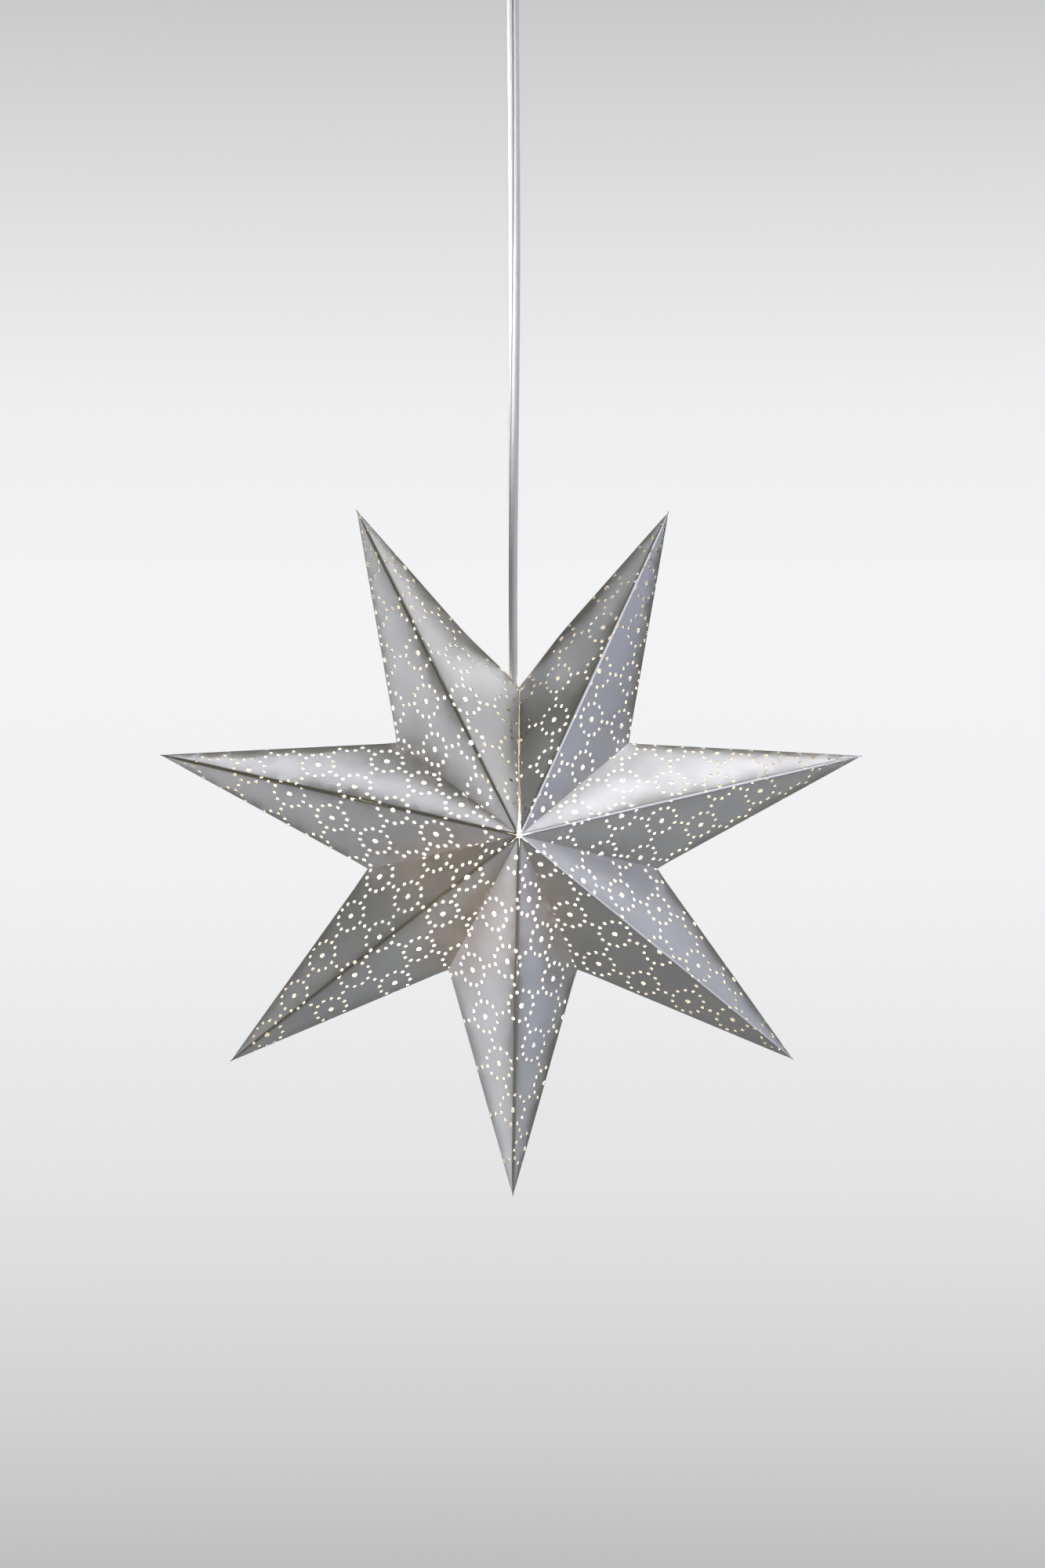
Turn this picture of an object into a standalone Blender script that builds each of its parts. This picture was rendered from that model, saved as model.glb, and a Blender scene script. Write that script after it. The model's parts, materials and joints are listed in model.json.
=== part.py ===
"""Seven-pointed folded paper star lantern with its lamp, power cord and ceiling fitting.

The origin is the centre of the ceiling plate's upper face. Metres, +Z up. The star's front faces -Y.
The paper is one long strip, folded into 14 front and 14 back panels. Its two ends meet in a seam at
the top notch, where the cord enters. The arms are numbered along the strip from that seam, first to
the left: upper left, left, lower left, bottom, lower right, right and upper right.
"""

import math

import bmesh
import bpy
from mathutils import Matrix, Vector

# Star
TIP_RADIUS = 0.2308
NOTCH_RADIUS = 0.0948
HALF_DEPTH = 0.065
PAPER = 0.0003
NOTCH_Z = -0.515
ARMS = ("upper_left", "left", "lower_left", "bottom", "lower_right", "right", "upper_right")

# Room at the creases for the paper's own thickness when the star is folded up
EDGE_ROOM = 0.00035
VALLEY_ROOM = 0.0010
RIDGE_ROOM = 0.0013
BACK_RIDGE_ROOM_AT_APEX = 0.0034
APEX_ROOM = 0.0055
NOTCH_ROOM = 0.0012
CORD_ROOM_DOWN = 0.0114
CORD_ROOM_UP_FIXED = 0.0118
CORD_ROOM_UP_FREE = 0.0108

# Flaps that close the seam, in its plane
FLAP_WIDTH = 0.009
FLAP_FROM = 0.46
FLAP_TO = 0.90
FLAP_SIDE = 0.00045
FLAP_ROOM = 0.0008

# Cord
CORD_DIAMETER = 0.0072
CORD_POINT_EVERY = 0.017
OUTLET_GAP = 0.0008
FIT_GAP = 0.0003

# Tie string, a ring round the cord
STRING_RADIUS = 0.0004
STRING_GAP = 0.00015
STRING_BELOW_NOTCH = 0.0010

# Lamp, on its own axis, which leans to the left. Depths along it count down from the top of the
# cord grip, and a name that ends in _TOP, _FOOT, _FROM, _TO or _TIP is such a depth
LAMP_BELOW_NOTCH = 0.012
LAMP_X = -0.0012
LAMP_LEAN = math.radians(8.5)

# Lampholder
HOLDER_RADIUS = 0.013
HOLDER_WALL = 0.0014
HOLDER_FOOT = 0.0560
HOLDER_CHAMFER = 0.001
GRIP_RADIUS = 0.0062
GRIP_NECK = 0.0035
GRIP_BORE = 0.0016
GRIP_SHOULDER = 0.0037
GRIP_FOOT = 0.0062
CAP_TOP = 0.0040
CAP_NECK = 0.0038
CAP_FOOT = 0.0200
CARRIER_BORE = 0.0030
CARRIER_TOP = 0.0205
CARRIER_FOOT = 0.0275
SHELL_RADIUS = 0.0077
SHELL_WALL = 0.0005
SHELL_FOOT = 0.0520
CONTACT_RADIUS = 0.0026
CONTACT_TOP = 0.0240
CONTACT_FOOT = 0.0317
CONTACT_BEVEL = 0.0007
TERMINAL_SIZE = (0.0044, 0.0040, 0.0042)
TERMINAL_X = 0.0060
TERMINAL_DEPTH = 0.0180
TERMINAL_BEVEL = 0.0004
CORE_RADIUS = 0.0007

# Bulb, with the standard 14 mm screw cap
E14_RADIUS = 0.00695
BULB_CAP_WALL = 0.0005
BULB_FROM = 0.0320
CAP_CONE_RADIUS = 0.0045
INSULATOR_RADIUS = 0.0036
INSULATOR_BORE = 0.0019
CONTACT_PIN_RADIUS = 0.0015
GLASS_FROM = 0.0563
GLASS_NECK = 0.0062
GLASS_SWELL = 0.030
BULB_TIP = 0.1280
BULB_RADIUS = 0.0175
GLASS_WALL = 0.0008
TIP_SHARPNESS = 1.15
STEM_FROM = 0.0570
STEM_FLARE = 0.0045
STEM_RADIUS = 0.0013
STEM_TO = 0.1140
FILAMENT_FROM = 0.0740
FILAMENT_TO = 0.1120
FILAMENT_RADIUS = 0.0009
FILAMENT_REACH_TOP = 0.0040
FILAMENT_REACH_FOOT = 0.0075
FILAMENTS = 4

# Ceiling fitting
CUP_RADIUS = 0.035
CUP_HEIGHT = 0.052
CUP_WALL = 0.002
CUP_RIM = 0.014
CUP_FLAT = 0.011
OUTLET_HOLE = 0.0053
PLATE_RADIUS = 0.028
PLATE_THICKNESS = 0.0015
SCREW_HOLE_RADIUS = 0.0023
SCREW_HOLE_Y = 0.018
NUT_RADIUS = 0.0085
NUT_HEIGHT = 0.004
OUTLET_RADIUS = 0.0075
OUTLET_BORE = 0.0020
OUTLET_STEM = 0.010
OUTLET_FOOT = -0.0600
BLOCK_SIZE = (0.012, 0.024, 0.013)
BLOCK_CENTRE = (0.013, 0.0, -0.0085)
BLOCK_BEVEL = 0.0012

STEPS = 24
SMOOTH_BELOW = math.radians(40)

CENTRE_Z = NOTCH_Z - NOTCH_RADIUS
CORD_TOP_Z = OUTLET_FOOT - OUTLET_GAP


def clear_scene():
    for obj in list(bpy.data.objects):
        bpy.data.objects.remove(obj, do_unlink=True)


def material(name, colour, roughness, metallic=0.0, glow=0.0, transmission=0.0):
    made = bpy.data.materials.new(name)
    made.use_nodes = True
    shader = made.node_tree.nodes["Principled BSDF"]
    shader.inputs["Base Color"].default_value = (*colour, 1.0)
    shader.inputs["Roughness"].default_value = roughness
    shader.inputs["Metallic"].default_value = metallic
    shader.inputs["Transmission Weight"].default_value = transmission
    shader.inputs["Emission Color"].default_value = (*colour, 1.0)
    shader.inputs["Emission Strength"].default_value = glow
    return made


def add_object(name, mesh_or_curve, finish, parent=None):
    obj = bpy.data.objects.new(name, mesh_or_curve)
    bpy.context.scene.collection.objects.link(obj)
    mesh_or_curve.materials.append(finish)
    obj.parent = parent
    return obj


def mesh_from(name, bm):
    bmesh.ops.recalc_face_normals(bm, faces=bm.faces)
    mesh = bpy.data.meshes.new(name)
    bm.to_mesh(mesh)
    bm.free()
    return mesh


def shade_round(mesh):
    mesh.shade_smooth()
    mesh.set_sharp_from_angle(angle=SMOOTH_BELOW)


def turned(name, profile, finish, parent=None, closed=False):
    """A turned piece from (radius, depth) points. An open profile starts and ends on the axis."""
    bm = bmesh.new()
    verts = [bm.verts.new((radius, 0.0, -depth)) for radius, depth in profile]
    edges = [bm.edges.new(pair) for pair in zip(verts, verts[1:])]
    if closed:
        edges.append(bm.edges.new((verts[-1], verts[0])))
    bmesh.ops.spin(
        bm,
        geom=verts + edges,
        cent=(0, 0, 0),
        axis=(0, 0, 1),
        angle=2 * math.pi,
        steps=STEPS,
        use_merge=True,
    )
    bmesh.ops.remove_doubles(bm, verts=bm.verts, dist=1e-6)
    mesh = mesh_from(name, bm)
    shade_round(mesh)
    return add_object(name, mesh, finish, parent)


def on_circle(radius, turn, y=0.0):
    """A point around the star's axis; turn is clockwise from the top as seen from the front."""
    return Vector((radius * math.sin(turn), y, CENTRE_Z + radius * math.cos(turn)))


def plate(name, corners, cuts, finish):
    """A flat sheet of paper: a convex outline, cut by planes of (point, direction cut away)."""
    bm = bmesh.new()
    bm.faces.new([bm.verts.new(corner) for corner in corners])
    for point, away in cuts:
        geometry = bm.verts[:] + bm.edges[:] + bm.faces[:]
        bmesh.ops.bisect_plane(
            bm, geom=geometry, dist=1e-7, plane_co=point, plane_no=away, clear_outer=True
        )
    bmesh.ops.recalc_face_normals(bm, faces=bm.faces)
    mesh = bpy.data.meshes.new(name)
    bm.to_mesh(mesh)
    bm.free()
    obj = add_object(name, mesh, finish)
    thickness = obj.modifiers.new("paper", "SOLIDIFY")
    thickness.thickness = PAPER
    thickness.offset = 0.0
    return obj


def square_to(direction, along):
    """The part of a direction that is square to another, at unit length."""
    return (direction - along * direction.dot(along)).normalized()


def edge_cut(start, end, opposite, room, end_room=None):
    """The cut that sets an edge back by room, or from room at its start to end_room at its end."""
    inward = square_to(opposite - start, (end - start).normalized())
    cut_start = start + inward * room
    cut_end = end + inward * (room if end_room is None else end_room)
    return cut_start, -square_to(opposite - start, (cut_end - cut_start).normalized())


def corner_cut(corner, one, other, reach_one, reach_other):
    """The straight cut across a corner, between points that far along its two edges."""
    start = corner + (one - corner).normalized() * reach_one
    end = corner + (other - corner).normalized() * reach_other
    return start, square_to(corner - start, (end - start).normalized())


def notch_reach(arm, half):
    """How far the notch corner is cut along the outer edge and along the valley."""
    if arm == 0 and half == 0:
        return CORD_ROOM_UP_FIXED, CORD_ROOM_DOWN
    if arm == len(ARMS) - 1 and half == 1:
        return CORD_ROOM_UP_FREE, CORD_ROOM_DOWN
    return NOTCH_ROOM, NOTCH_ROOM


def make_panel(arm, half, front, finish):
    """Half of one side of an arm, between its ridge and the next valley."""
    sector = math.pi / len(ARMS)
    tip = on_circle(TIP_RADIUS, -(2 * arm + 1) * sector)
    notch = on_circle(NOTCH_RADIUS, -2 * (arm + half) * sector)
    apex = on_circle(0.0, 0.0, -HALF_DEPTH if front else HALF_DEPTH)
    ridge_room = RIDGE_ROOM if front else BACK_RIDGE_ROOM_AT_APEX
    up, down = notch_reach(arm, half)
    cuts = [
        edge_cut(tip, apex, notch, RIDGE_ROOM, ridge_room),
        edge_cut(notch, apex, tip, VALLEY_ROOM),
        edge_cut(tip, notch, apex, EDGE_ROOM),
        corner_cut(apex, tip, notch, APEX_ROOM, APEX_ROOM),
        corner_cut(notch, tip, apex, up, down),
    ]
    side = "front" if front else "back"
    order = ("first", "second")[half]
    return plate(f"{ARMS[arm]}_arm_{side}_{order}", (apex, tip, notch), cuts, finish)


def make_flap(name, front, side, finish):
    """A flap along the seam, folded in towards the lamp."""
    notch = on_circle(NOTCH_RADIUS, 0.0)
    apex = on_circle(0.0, 0.0, -HALF_DEPTH if front else HALF_DEPTH)
    seam = apex - notch
    along = seam.normalized()
    inward = square_to(Vector((0.0, 0.0, CENTRE_Z)) - notch, along)
    offset = Vector((side * FLAP_SIDE, 0.0, 0.0))
    start = notch + seam * FLAP_FROM + inward * FLAP_ROOM + offset
    end = notch + seam * FLAP_TO + inward * FLAP_ROOM + offset
    slant = along * FLAP_WIDTH * 0.6
    corners = (start, end, end - slant + inward * FLAP_WIDTH, start + slant + inward * FLAP_WIDTH)
    return plate(name, corners, (), finish)


def make_star():
    foil = material("silver_foil_paper", (0.62, 0.62, 0.64), 0.36, metallic=0.9)
    white = material("white_paper_flap", (0.85, 0.82, 0.76), 0.7)
    for arm in range(len(ARMS)):
        for half in (0, 1):
            for front in (True, False):
                make_panel(arm, half, front, foil)
    make_flap("seam_flap_front_fixed", True, -1, white)
    make_flap("seam_flap_back_fixed", False, -1, white)
    make_flap("seam_flap_front_free", True, 1, white)
    make_flap("seam_flap_back_free", False, 1, white)


def lamp_point(depth, x=0.0, y=0.0):
    """A point of the lamp in world space, depth below the top of its cord grip."""
    top = Vector((LAMP_X, 0.0, NOTCH_Z - LAMP_BELOW_NOTCH))
    return top + Matrix.Rotation(LAMP_LEAN, 3, "Y") @ Vector((x, y, -depth))


def catmull_rom(points, spacing):
    """Points read off one smooth curve through the route, about a spacing apart."""
    ends = [2 * points[0] - points[1], *points, 2 * points[-1] - points[-2]]
    out = []
    for p0, p1, p2, p3 in zip(ends, ends[1:], ends[2:], ends[3:]):
        count = max(1, round((p2 - p1).length / spacing))
        for step in range(count):
            t = step / count
            out.append(
                0.5
                * (
                    2 * p1
                    + (p2 - p0) * t
                    + (2 * p0 - 5 * p1 + 4 * p2 - p3) * t * t
                    + (3 * p1 - p0 - 3 * p2 + p3) * t * t * t
                )
            )
    return [*out, points[-1]]


def tube(name, points, radius, finish, resolution=2, parent=None):
    curve = bpy.data.curves.new(name, "CURVE")
    curve.dimensions = "3D"
    curve.bevel_depth = radius
    curve.bevel_resolution = resolution
    curve.use_fill_caps = True
    spline = curve.splines.new("POLY")
    spline.points.add(len(points) - 1)
    for target, point in zip(spline.points, points):
        target.co = (*point, 1.0)
    return add_object(name, curve, finish, parent)


def make_cord():
    """The cord hangs taut from the outlet, drifts a little, and turns into the leaning lampholder."""
    pvc = material("white_pvc_cord", (0.78, 0.77, 0.80), 0.4)
    end = lamp_point(-FIT_GAP)
    above = lamp_point(-0.008)
    route = [
        Vector((0.0, 0.0, CORD_TOP_Z)),
        Vector((0.0, 0.0, CORD_TOP_Z - 0.030)),
        Vector((0.0005, 0.0, -0.150)),
        Vector((0.0010, 0.0, -0.240)),
        Vector((0.0008, 0.0, -0.320)),
        Vector((0.0003, 0.0, -0.400)),
        Vector((0.0000, 0.0, -0.460)),
        Vector((0.0002, 0.0, NOTCH_Z + 0.015)),
        above,
        end,
    ]
    tube("power_cord", catmull_rom(route, CORD_POINT_EVERY), CORD_DIAMETER / 2, pvc, resolution=3)


def make_tie():
    """The string that ties the seam shut round the cord, just under the notch."""
    string = material("tie_string", (0.80, 0.76, 0.68), 0.8)
    bpy.ops.mesh.primitive_torus_add(
        major_radius=CORD_DIAMETER / 2 + STRING_GAP + STRING_RADIUS,
        minor_radius=STRING_RADIUS,
        major_segments=24,
        minor_segments=8,
    )
    ring = bpy.context.object
    ring.name = "tie_string"
    ring.data.materials.append(string)
    ring.location = (0.0, 0.0, NOTCH_Z - STRING_BELOW_NOTCH)


def holder_profile():
    """The lampholder's lower half: a plain tube with a chamfered foot, closed outline."""
    inner = HOLDER_RADIUS - HOLDER_WALL
    top = CAP_FOOT + FIT_GAP
    return [
        (inner, top),
        (HOLDER_RADIUS, top),
        (HOLDER_RADIUS, HOLDER_FOOT - HOLDER_CHAMFER),
        (HOLDER_RADIUS - HOLDER_CHAMFER, HOLDER_FOOT),
        (inner, HOLDER_FOOT),
    ]


def cap_profile():
    """The lampholder's domed upper half, closed outline."""
    wall = HOLDER_WALL
    flat, height = 0.0070, 0.0120
    outer = [(flat, CAP_TOP)]
    for step in range(1, 5):
        turn = step / 4 * math.pi / 2
        reach = flat + (HOLDER_RADIUS - flat) * math.sin(turn)
        outer.append((reach, CAP_TOP + height * (1 - math.cos(turn))))
    inner = [(radius - wall, depth + 0.6 * wall) for radius, depth in reversed(outer)]
    foot = [(HOLDER_RADIUS, CAP_FOOT), (HOLDER_RADIUS - wall, CAP_FOOT)]
    return [(CAP_NECK, CAP_TOP), *outer, *foot, *inner, (CAP_NECK, CAP_TOP + wall)]


def bulb_outline(wall):
    """Radius and depth along the candle-shaped glass, a wall's thickness inside its outer face."""
    bulge_at = GLASS_FROM + GLASS_SWELL
    least_radius = 0.0015
    points = []
    for step in range(6):
        t = step / 6
        ease = t * t * (3 - 2 * t)
        radius = GLASS_NECK + (BULB_RADIUS - GLASS_NECK) * ease - wall
        points.append((radius, GLASS_FROM + GLASS_SWELL * t))
    length = BULB_TIP - bulge_at
    for step in range(8):
        turn = step / 8 * math.pi / 2
        radius = BULB_RADIUS * math.cos(turn) ** TIP_SHARPNESS - wall
        points.append((max(radius, least_radius), bulge_at + (length - wall) * math.sin(turn)))
    return points


def ring_profile(inner, outer, top, foot):
    """The outline of a plain ring."""
    return [(inner, top), (outer, top), (outer, foot), (inner, foot)]


def grip_profile():
    """The collar that grips the cord, with a neck that goes into the cap, closed outline."""
    return [
        (GRIP_BORE, 0.0),
        (GRIP_RADIUS - 0.0004, 0.0),
        (GRIP_RADIUS, GRIP_SHOULDER),
        (GRIP_NECK, GRIP_SHOULDER),
        (GRIP_NECK, GRIP_FOOT),
        (GRIP_BORE, GRIP_FOOT),
    ]


def make_lampholder(frame):
    plastic = material("white_holder_plastic", (0.80, 0.79, 0.76), 0.35)
    brass = material("brass_contacts", (0.75, 0.58, 0.28), 0.3, metallic=1.0)
    ceramic = material("contact_carrier_ceramic", (0.86, 0.85, 0.80), 0.5)
    core = material("core_insulation", (0.30, 0.22, 0.18), 0.5)
    turned("cord_grip", grip_profile(), plastic, frame, closed=True)
    turned("lampholder_cap", cap_profile(), plastic, frame, closed=True)
    turned("lampholder_body", holder_profile(), plastic, frame, closed=True)
    carrier = HOLDER_RADIUS - HOLDER_WALL - FIT_GAP
    disc = ring_profile(CARRIER_BORE, carrier, CARRIER_TOP, CARRIER_FOOT)
    turned("contact_carrier", disc, ceramic, frame, closed=True)
    shell = ring_profile(SHELL_RADIUS - SHELL_WALL, SHELL_RADIUS, CARRIER_FOOT + FIT_GAP, SHELL_FOOT)
    turned("screw_shell", shell, brass, frame, closed=True)
    centre = [(0.0, CONTACT_TOP), (CONTACT_RADIUS, CONTACT_TOP)]
    centre += [(CONTACT_RADIUS, CONTACT_FOOT - CONTACT_BEVEL)]
    centre += [(CONTACT_RADIUS - 2 * CONTACT_BEVEL, CONTACT_FOOT), (0.0, CONTACT_FOOT)]
    turned("centre_contact", centre, brass, frame)
    for side, name in ((-1, "live"), (1, "neutral")):
        make_terminal(name, side, brass, frame)
        make_core(name, side, core, frame)


def make_terminal(name, side, finish, frame):
    bm = bmesh.new()
    bmesh.ops.create_cube(bm, size=1.0, matrix=Matrix.Diagonal((*TERMINAL_SIZE, 1.0)))
    bmesh.ops.translate(bm, verts=bm.verts, vec=(side * TERMINAL_X, 0.0, -TERMINAL_DEPTH))
    obj = add_object(f"{name}_terminal", mesh_from(name, bm), finish, frame)
    bevel = obj.modifiers.new("edges", "BEVEL")
    bevel.width = TERMINAL_BEVEL


def make_core(name, side, finish, frame):
    """One core, from the cord grip's foot out to its terminal."""
    points = [
        Vector((side * 0.0009, 0.0, -0.0066)),
        Vector((side * 0.0012, 0.0, -0.0085)),
        Vector((side * 0.0036, 0.0, -0.0115)),
        Vector((side * 0.0056, 0.0, -0.0139)),
        Vector((side * TERMINAL_X, 0.0, -0.0155)),
    ]
    tube(f"{name}_core", points, CORE_RADIUS, finish, parent=frame)


def make_bulb(frame):
    metal = material("bulb_cap_nickel", (0.70, 0.69, 0.66), 0.3, metallic=1.0)
    glass = material("bulb_glass", (0.98, 0.97, 0.95), 0.02, transmission=1.0)
    black = material("bulb_insulator", (0.03, 0.03, 0.03), 0.3)
    light = material("led_filament", (1.0, 0.62, 0.22), 0.5, glow=20.0)
    wall = BULB_CAP_WALL
    cap = [
        (E14_RADIUS - wall, GLASS_FROM - FIT_GAP),
        (E14_RADIUS, GLASS_FROM - FIT_GAP),
        (E14_RADIUS, BULB_FROM + 0.0035),
        (CAP_CONE_RADIUS, BULB_FROM + 0.0018),
        (CAP_CONE_RADIUS - wall, BULB_FROM + 0.0024),
        (E14_RADIUS - wall, BULB_FROM + 0.0040),
    ]
    turned("bulb_cap", cap, metal, frame, closed=True)
    insulator = ring_profile(INSULATOR_BORE, INSULATOR_RADIUS, BULB_FROM + 0.0016, BULB_FROM + 0.0030)
    insulator[0] = (INSULATOR_BORE, BULB_FROM + 0.0006)
    turned("bulb_insulator", insulator, black, frame, closed=True)
    pin = [(0.0, BULB_FROM), (CONTACT_PIN_RADIUS - 0.0001, BULB_FROM + 0.0003)]
    pin += [(CONTACT_PIN_RADIUS, BULB_FROM + 0.0032), (0.0, BULB_FROM + 0.0032)]
    turned("bulb_contact", pin, metal, frame)
    outer = bulb_outline(0.0)
    inner = bulb_outline(GLASS_WALL)
    envelope = [*outer, (0.0, BULB_TIP), (0.0, BULB_TIP - GLASS_WALL), *reversed(inner)]
    make_envelope(envelope, glass, frame)
    stem = [(0.0, STEM_FROM), (STEM_FLARE, STEM_FROM), (STEM_FLARE / 2, STEM_FROM + 0.007)]
    stem += [(STEM_RADIUS, STEM_FROM + 0.013), (STEM_RADIUS, STEM_TO - 0.002)]
    stem += [(1.5 * STEM_RADIUS, STEM_TO - 0.001), (0.0, STEM_TO)]
    turned("glass_stem", stem, glass, frame)
    for number in range(FILAMENTS):
        make_filament(number, light, frame)


def make_envelope(profile, finish, frame):
    """The glass: its outline runs down the outside, through the tip and back up the inside."""
    tip = profile.index((0.0, BULB_TIP))
    bm = bmesh.new()
    rings = []
    for radius, depth in profile:
        count = 1 if radius == 0.0 else STEPS
        ring = []
        for step in range(count):
            turn = 2 * math.pi * step / STEPS
            ring.append(bm.verts.new((radius * math.cos(turn), radius * math.sin(turn), -depth)))
        rings.append(ring)
    pairs = [*zip(rings, rings[1:]), (rings[-1], rings[0])]
    del pairs[tip]
    for ring, following in pairs:
        bridge_rings(bm, ring, following)
    mesh = mesh_from("bulb_glass", bm)
    shade_round(mesh)
    add_object("bulb_glass", mesh, finish, frame)


def bridge_rings(bm, ring, following):
    for step in range(STEPS):
        after = (step + 1) % STEPS
        corners = (
            ring[step % len(ring)],
            ring[after % len(ring)],
            following[after % len(following)],
            following[step % len(following)],
        )
        bm.faces.new(list(dict.fromkeys(corners)))


def make_filament(number, finish, frame):
    turn = 2 * math.pi * (number + 0.5) / FILAMENTS
    direction = Vector((math.cos(turn), math.sin(turn), 0.0))
    points = [
        direction * FILAMENT_REACH_TOP + Vector((0.0, 0.0, -FILAMENT_FROM)),
        direction * FILAMENT_REACH_FOOT + Vector((0.0, 0.0, -FILAMENT_TO)),
    ]
    tube(f"filament_{number + 1}", points, FILAMENT_RADIUS, finish, parent=frame)


def make_lamp():
    frame = bpy.data.objects.new("lamp_axis", None)
    bpy.context.scene.collection.objects.link(frame)
    frame.location = lamp_point(0.0)
    frame.rotation_euler = (0.0, LAMP_LEAN, 0.0)
    make_lampholder(frame)
    make_bulb(frame)


def cup_profile():
    """The ceiling cup's wall, closed outline, with the cord outlet's hole in its foot."""
    outer = cup_side(0.0)
    inner = cup_side(CUP_WALL)
    ends = [(OUTLET_HOLE, CUP_HEIGHT), (OUTLET_HOLE, CUP_HEIGHT - CUP_WALL)]
    return [*outer, *ends, *reversed(inner)]


def cup_side(wall):
    """The cup's side, a wall's thickness inside its outer face: a straight rim, then a quarter oval."""
    radius = CUP_RADIUS - wall
    flat = CUP_FLAT - wall
    points = [(radius, 0.0), (radius, CUP_RIM)]
    for step in range(1, 7):
        turn = step / 6 * math.pi / 2
        reach = flat + (radius - flat) * math.cos(turn)
        points.append((reach, CUP_RIM + (CUP_HEIGHT - wall - CUP_RIM) * math.sin(turn)))
    return points


def make_ceiling_plate(finish):
    """A steel disc with two screw holes beside its centre."""
    bm = bmesh.new()
    bmesh.ops.create_cone(
        bm,
        cap_ends=True,
        segments=2 * STEPS,
        radius1=PLATE_RADIUS,
        radius2=PLATE_RADIUS,
        depth=PLATE_THICKNESS,
    )
    bmesh.ops.translate(bm, verts=bm.verts, vec=(0, 0, -PLATE_THICKNESS / 2))
    obj = add_object("ceiling_plate", mesh_from("ceiling_plate", bm), finish)
    for side in (-1, 1):
        bm = bmesh.new()
        bmesh.ops.create_cone(
            bm,
            cap_ends=True,
            segments=16,
            radius1=SCREW_HOLE_RADIUS,
            radius2=SCREW_HOLE_RADIUS,
            depth=4 * PLATE_THICKNESS,
        )
        cutter = add_object("screw_hole_cutter", mesh_from("screw_hole", bm), finish)
        cutter.location = (0.0, side * SCREW_HOLE_Y, 0.0)
        cutter.hide_render = True
        cutter.display_type = "WIRE"
        cut = obj.modifiers.new("screw hole", "BOOLEAN")
        cut.operation = "DIFFERENCE"
        cut.object = cutter


def make_terminal_block(finish):
    bm = bmesh.new()
    bmesh.ops.create_cube(bm, size=1.0, matrix=Matrix.Diagonal((*BLOCK_SIZE, 1.0)))
    bmesh.ops.translate(bm, verts=bm.verts, vec=BLOCK_CENTRE)
    obj = add_object("terminal_block", mesh_from("terminal_block", bm), finish)
    bevel = obj.modifiers.new("edges", "BEVEL")
    bevel.width = BLOCK_BEVEL
    bevel.segments = 2


def make_ceiling_fitting():
    plastic = material("white_cup_plastic", (0.82, 0.81, 0.79), 0.3)
    steel = material("zinc_plated_steel", (0.60, 0.61, 0.63), 0.35, metallic=1.0)
    block = material("terminal_block_nylon", (0.75, 0.74, 0.70), 0.5)
    make_ceiling_plate(steel)
    turned("ceiling_cup", cup_profile(), plastic, closed=True)
    make_terminal_block(block)
    nut_top = CUP_HEIGHT - CUP_WALL - FIT_GAP
    nut = ring_profile(OUTLET_HOLE, NUT_RADIUS, nut_top - NUT_HEIGHT, nut_top)
    turned("outlet_nut", nut, plastic, closed=True)
    foot = -OUTLET_FOOT
    stem = OUTLET_HOLE - 0.0004
    outlet = [
        (OUTLET_BORE, CUP_HEIGHT - OUTLET_STEM),
        (stem, CUP_HEIGHT - OUTLET_STEM),
        (stem, CUP_HEIGHT + FIT_GAP),
        (OUTLET_RADIUS, CUP_HEIGHT + FIT_GAP),
        (OUTLET_RADIUS - 0.0003, foot - 0.0020),
        (OUTLET_RADIUS - 0.0017, foot),
        (OUTLET_BORE, foot),
    ]
    turned("cord_outlet", outlet, plastic, closed=True)


clear_scene()
make_star()
make_cord()
make_tie()
make_lamp()
make_ceiling_fitting()
bpy.context.view_layer.update()
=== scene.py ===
import json
import math

import bmesh
import bpy
import numpy as np
from mathutils import Matrix, Vector, geometry, noise


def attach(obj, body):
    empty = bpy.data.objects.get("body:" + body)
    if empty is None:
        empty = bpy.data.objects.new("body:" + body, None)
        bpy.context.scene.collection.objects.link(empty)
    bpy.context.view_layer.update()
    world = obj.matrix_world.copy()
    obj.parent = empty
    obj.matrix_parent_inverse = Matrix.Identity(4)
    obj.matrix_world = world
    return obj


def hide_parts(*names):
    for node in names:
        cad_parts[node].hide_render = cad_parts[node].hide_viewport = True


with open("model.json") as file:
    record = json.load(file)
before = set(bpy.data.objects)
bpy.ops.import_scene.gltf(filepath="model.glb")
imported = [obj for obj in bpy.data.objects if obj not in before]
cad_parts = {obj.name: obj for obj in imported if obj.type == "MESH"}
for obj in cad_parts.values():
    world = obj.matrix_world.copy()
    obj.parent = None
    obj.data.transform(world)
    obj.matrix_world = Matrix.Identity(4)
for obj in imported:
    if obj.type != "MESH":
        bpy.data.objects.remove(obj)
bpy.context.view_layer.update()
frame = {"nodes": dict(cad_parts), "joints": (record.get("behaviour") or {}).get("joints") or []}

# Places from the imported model
JOINTS = {joint["name"]: joint for joint in frame["joints"]}
NOTCH = Vector(JOINTS["star_hang"]["pos_m"])
CORD_TOP = Vector(JOINTS["cord_swing"]["pos_m"])

# The star's driving dimensions, in metres, as in the CAD source
TIP_RADIUS = 0.2308
NOTCH_RADIUS = 0.0948
HALF_DEPTH = 0.065
PAPER = 0.0004
ARMS = ("upper_left", "left", "lower_left", "bottom", "lower_right", "right", "upper_right")
SECTOR = math.pi / len(ARMS)
CENTRE = NOTCH - Vector((0.0, 0.0, NOTCH_RADIUS))

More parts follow.
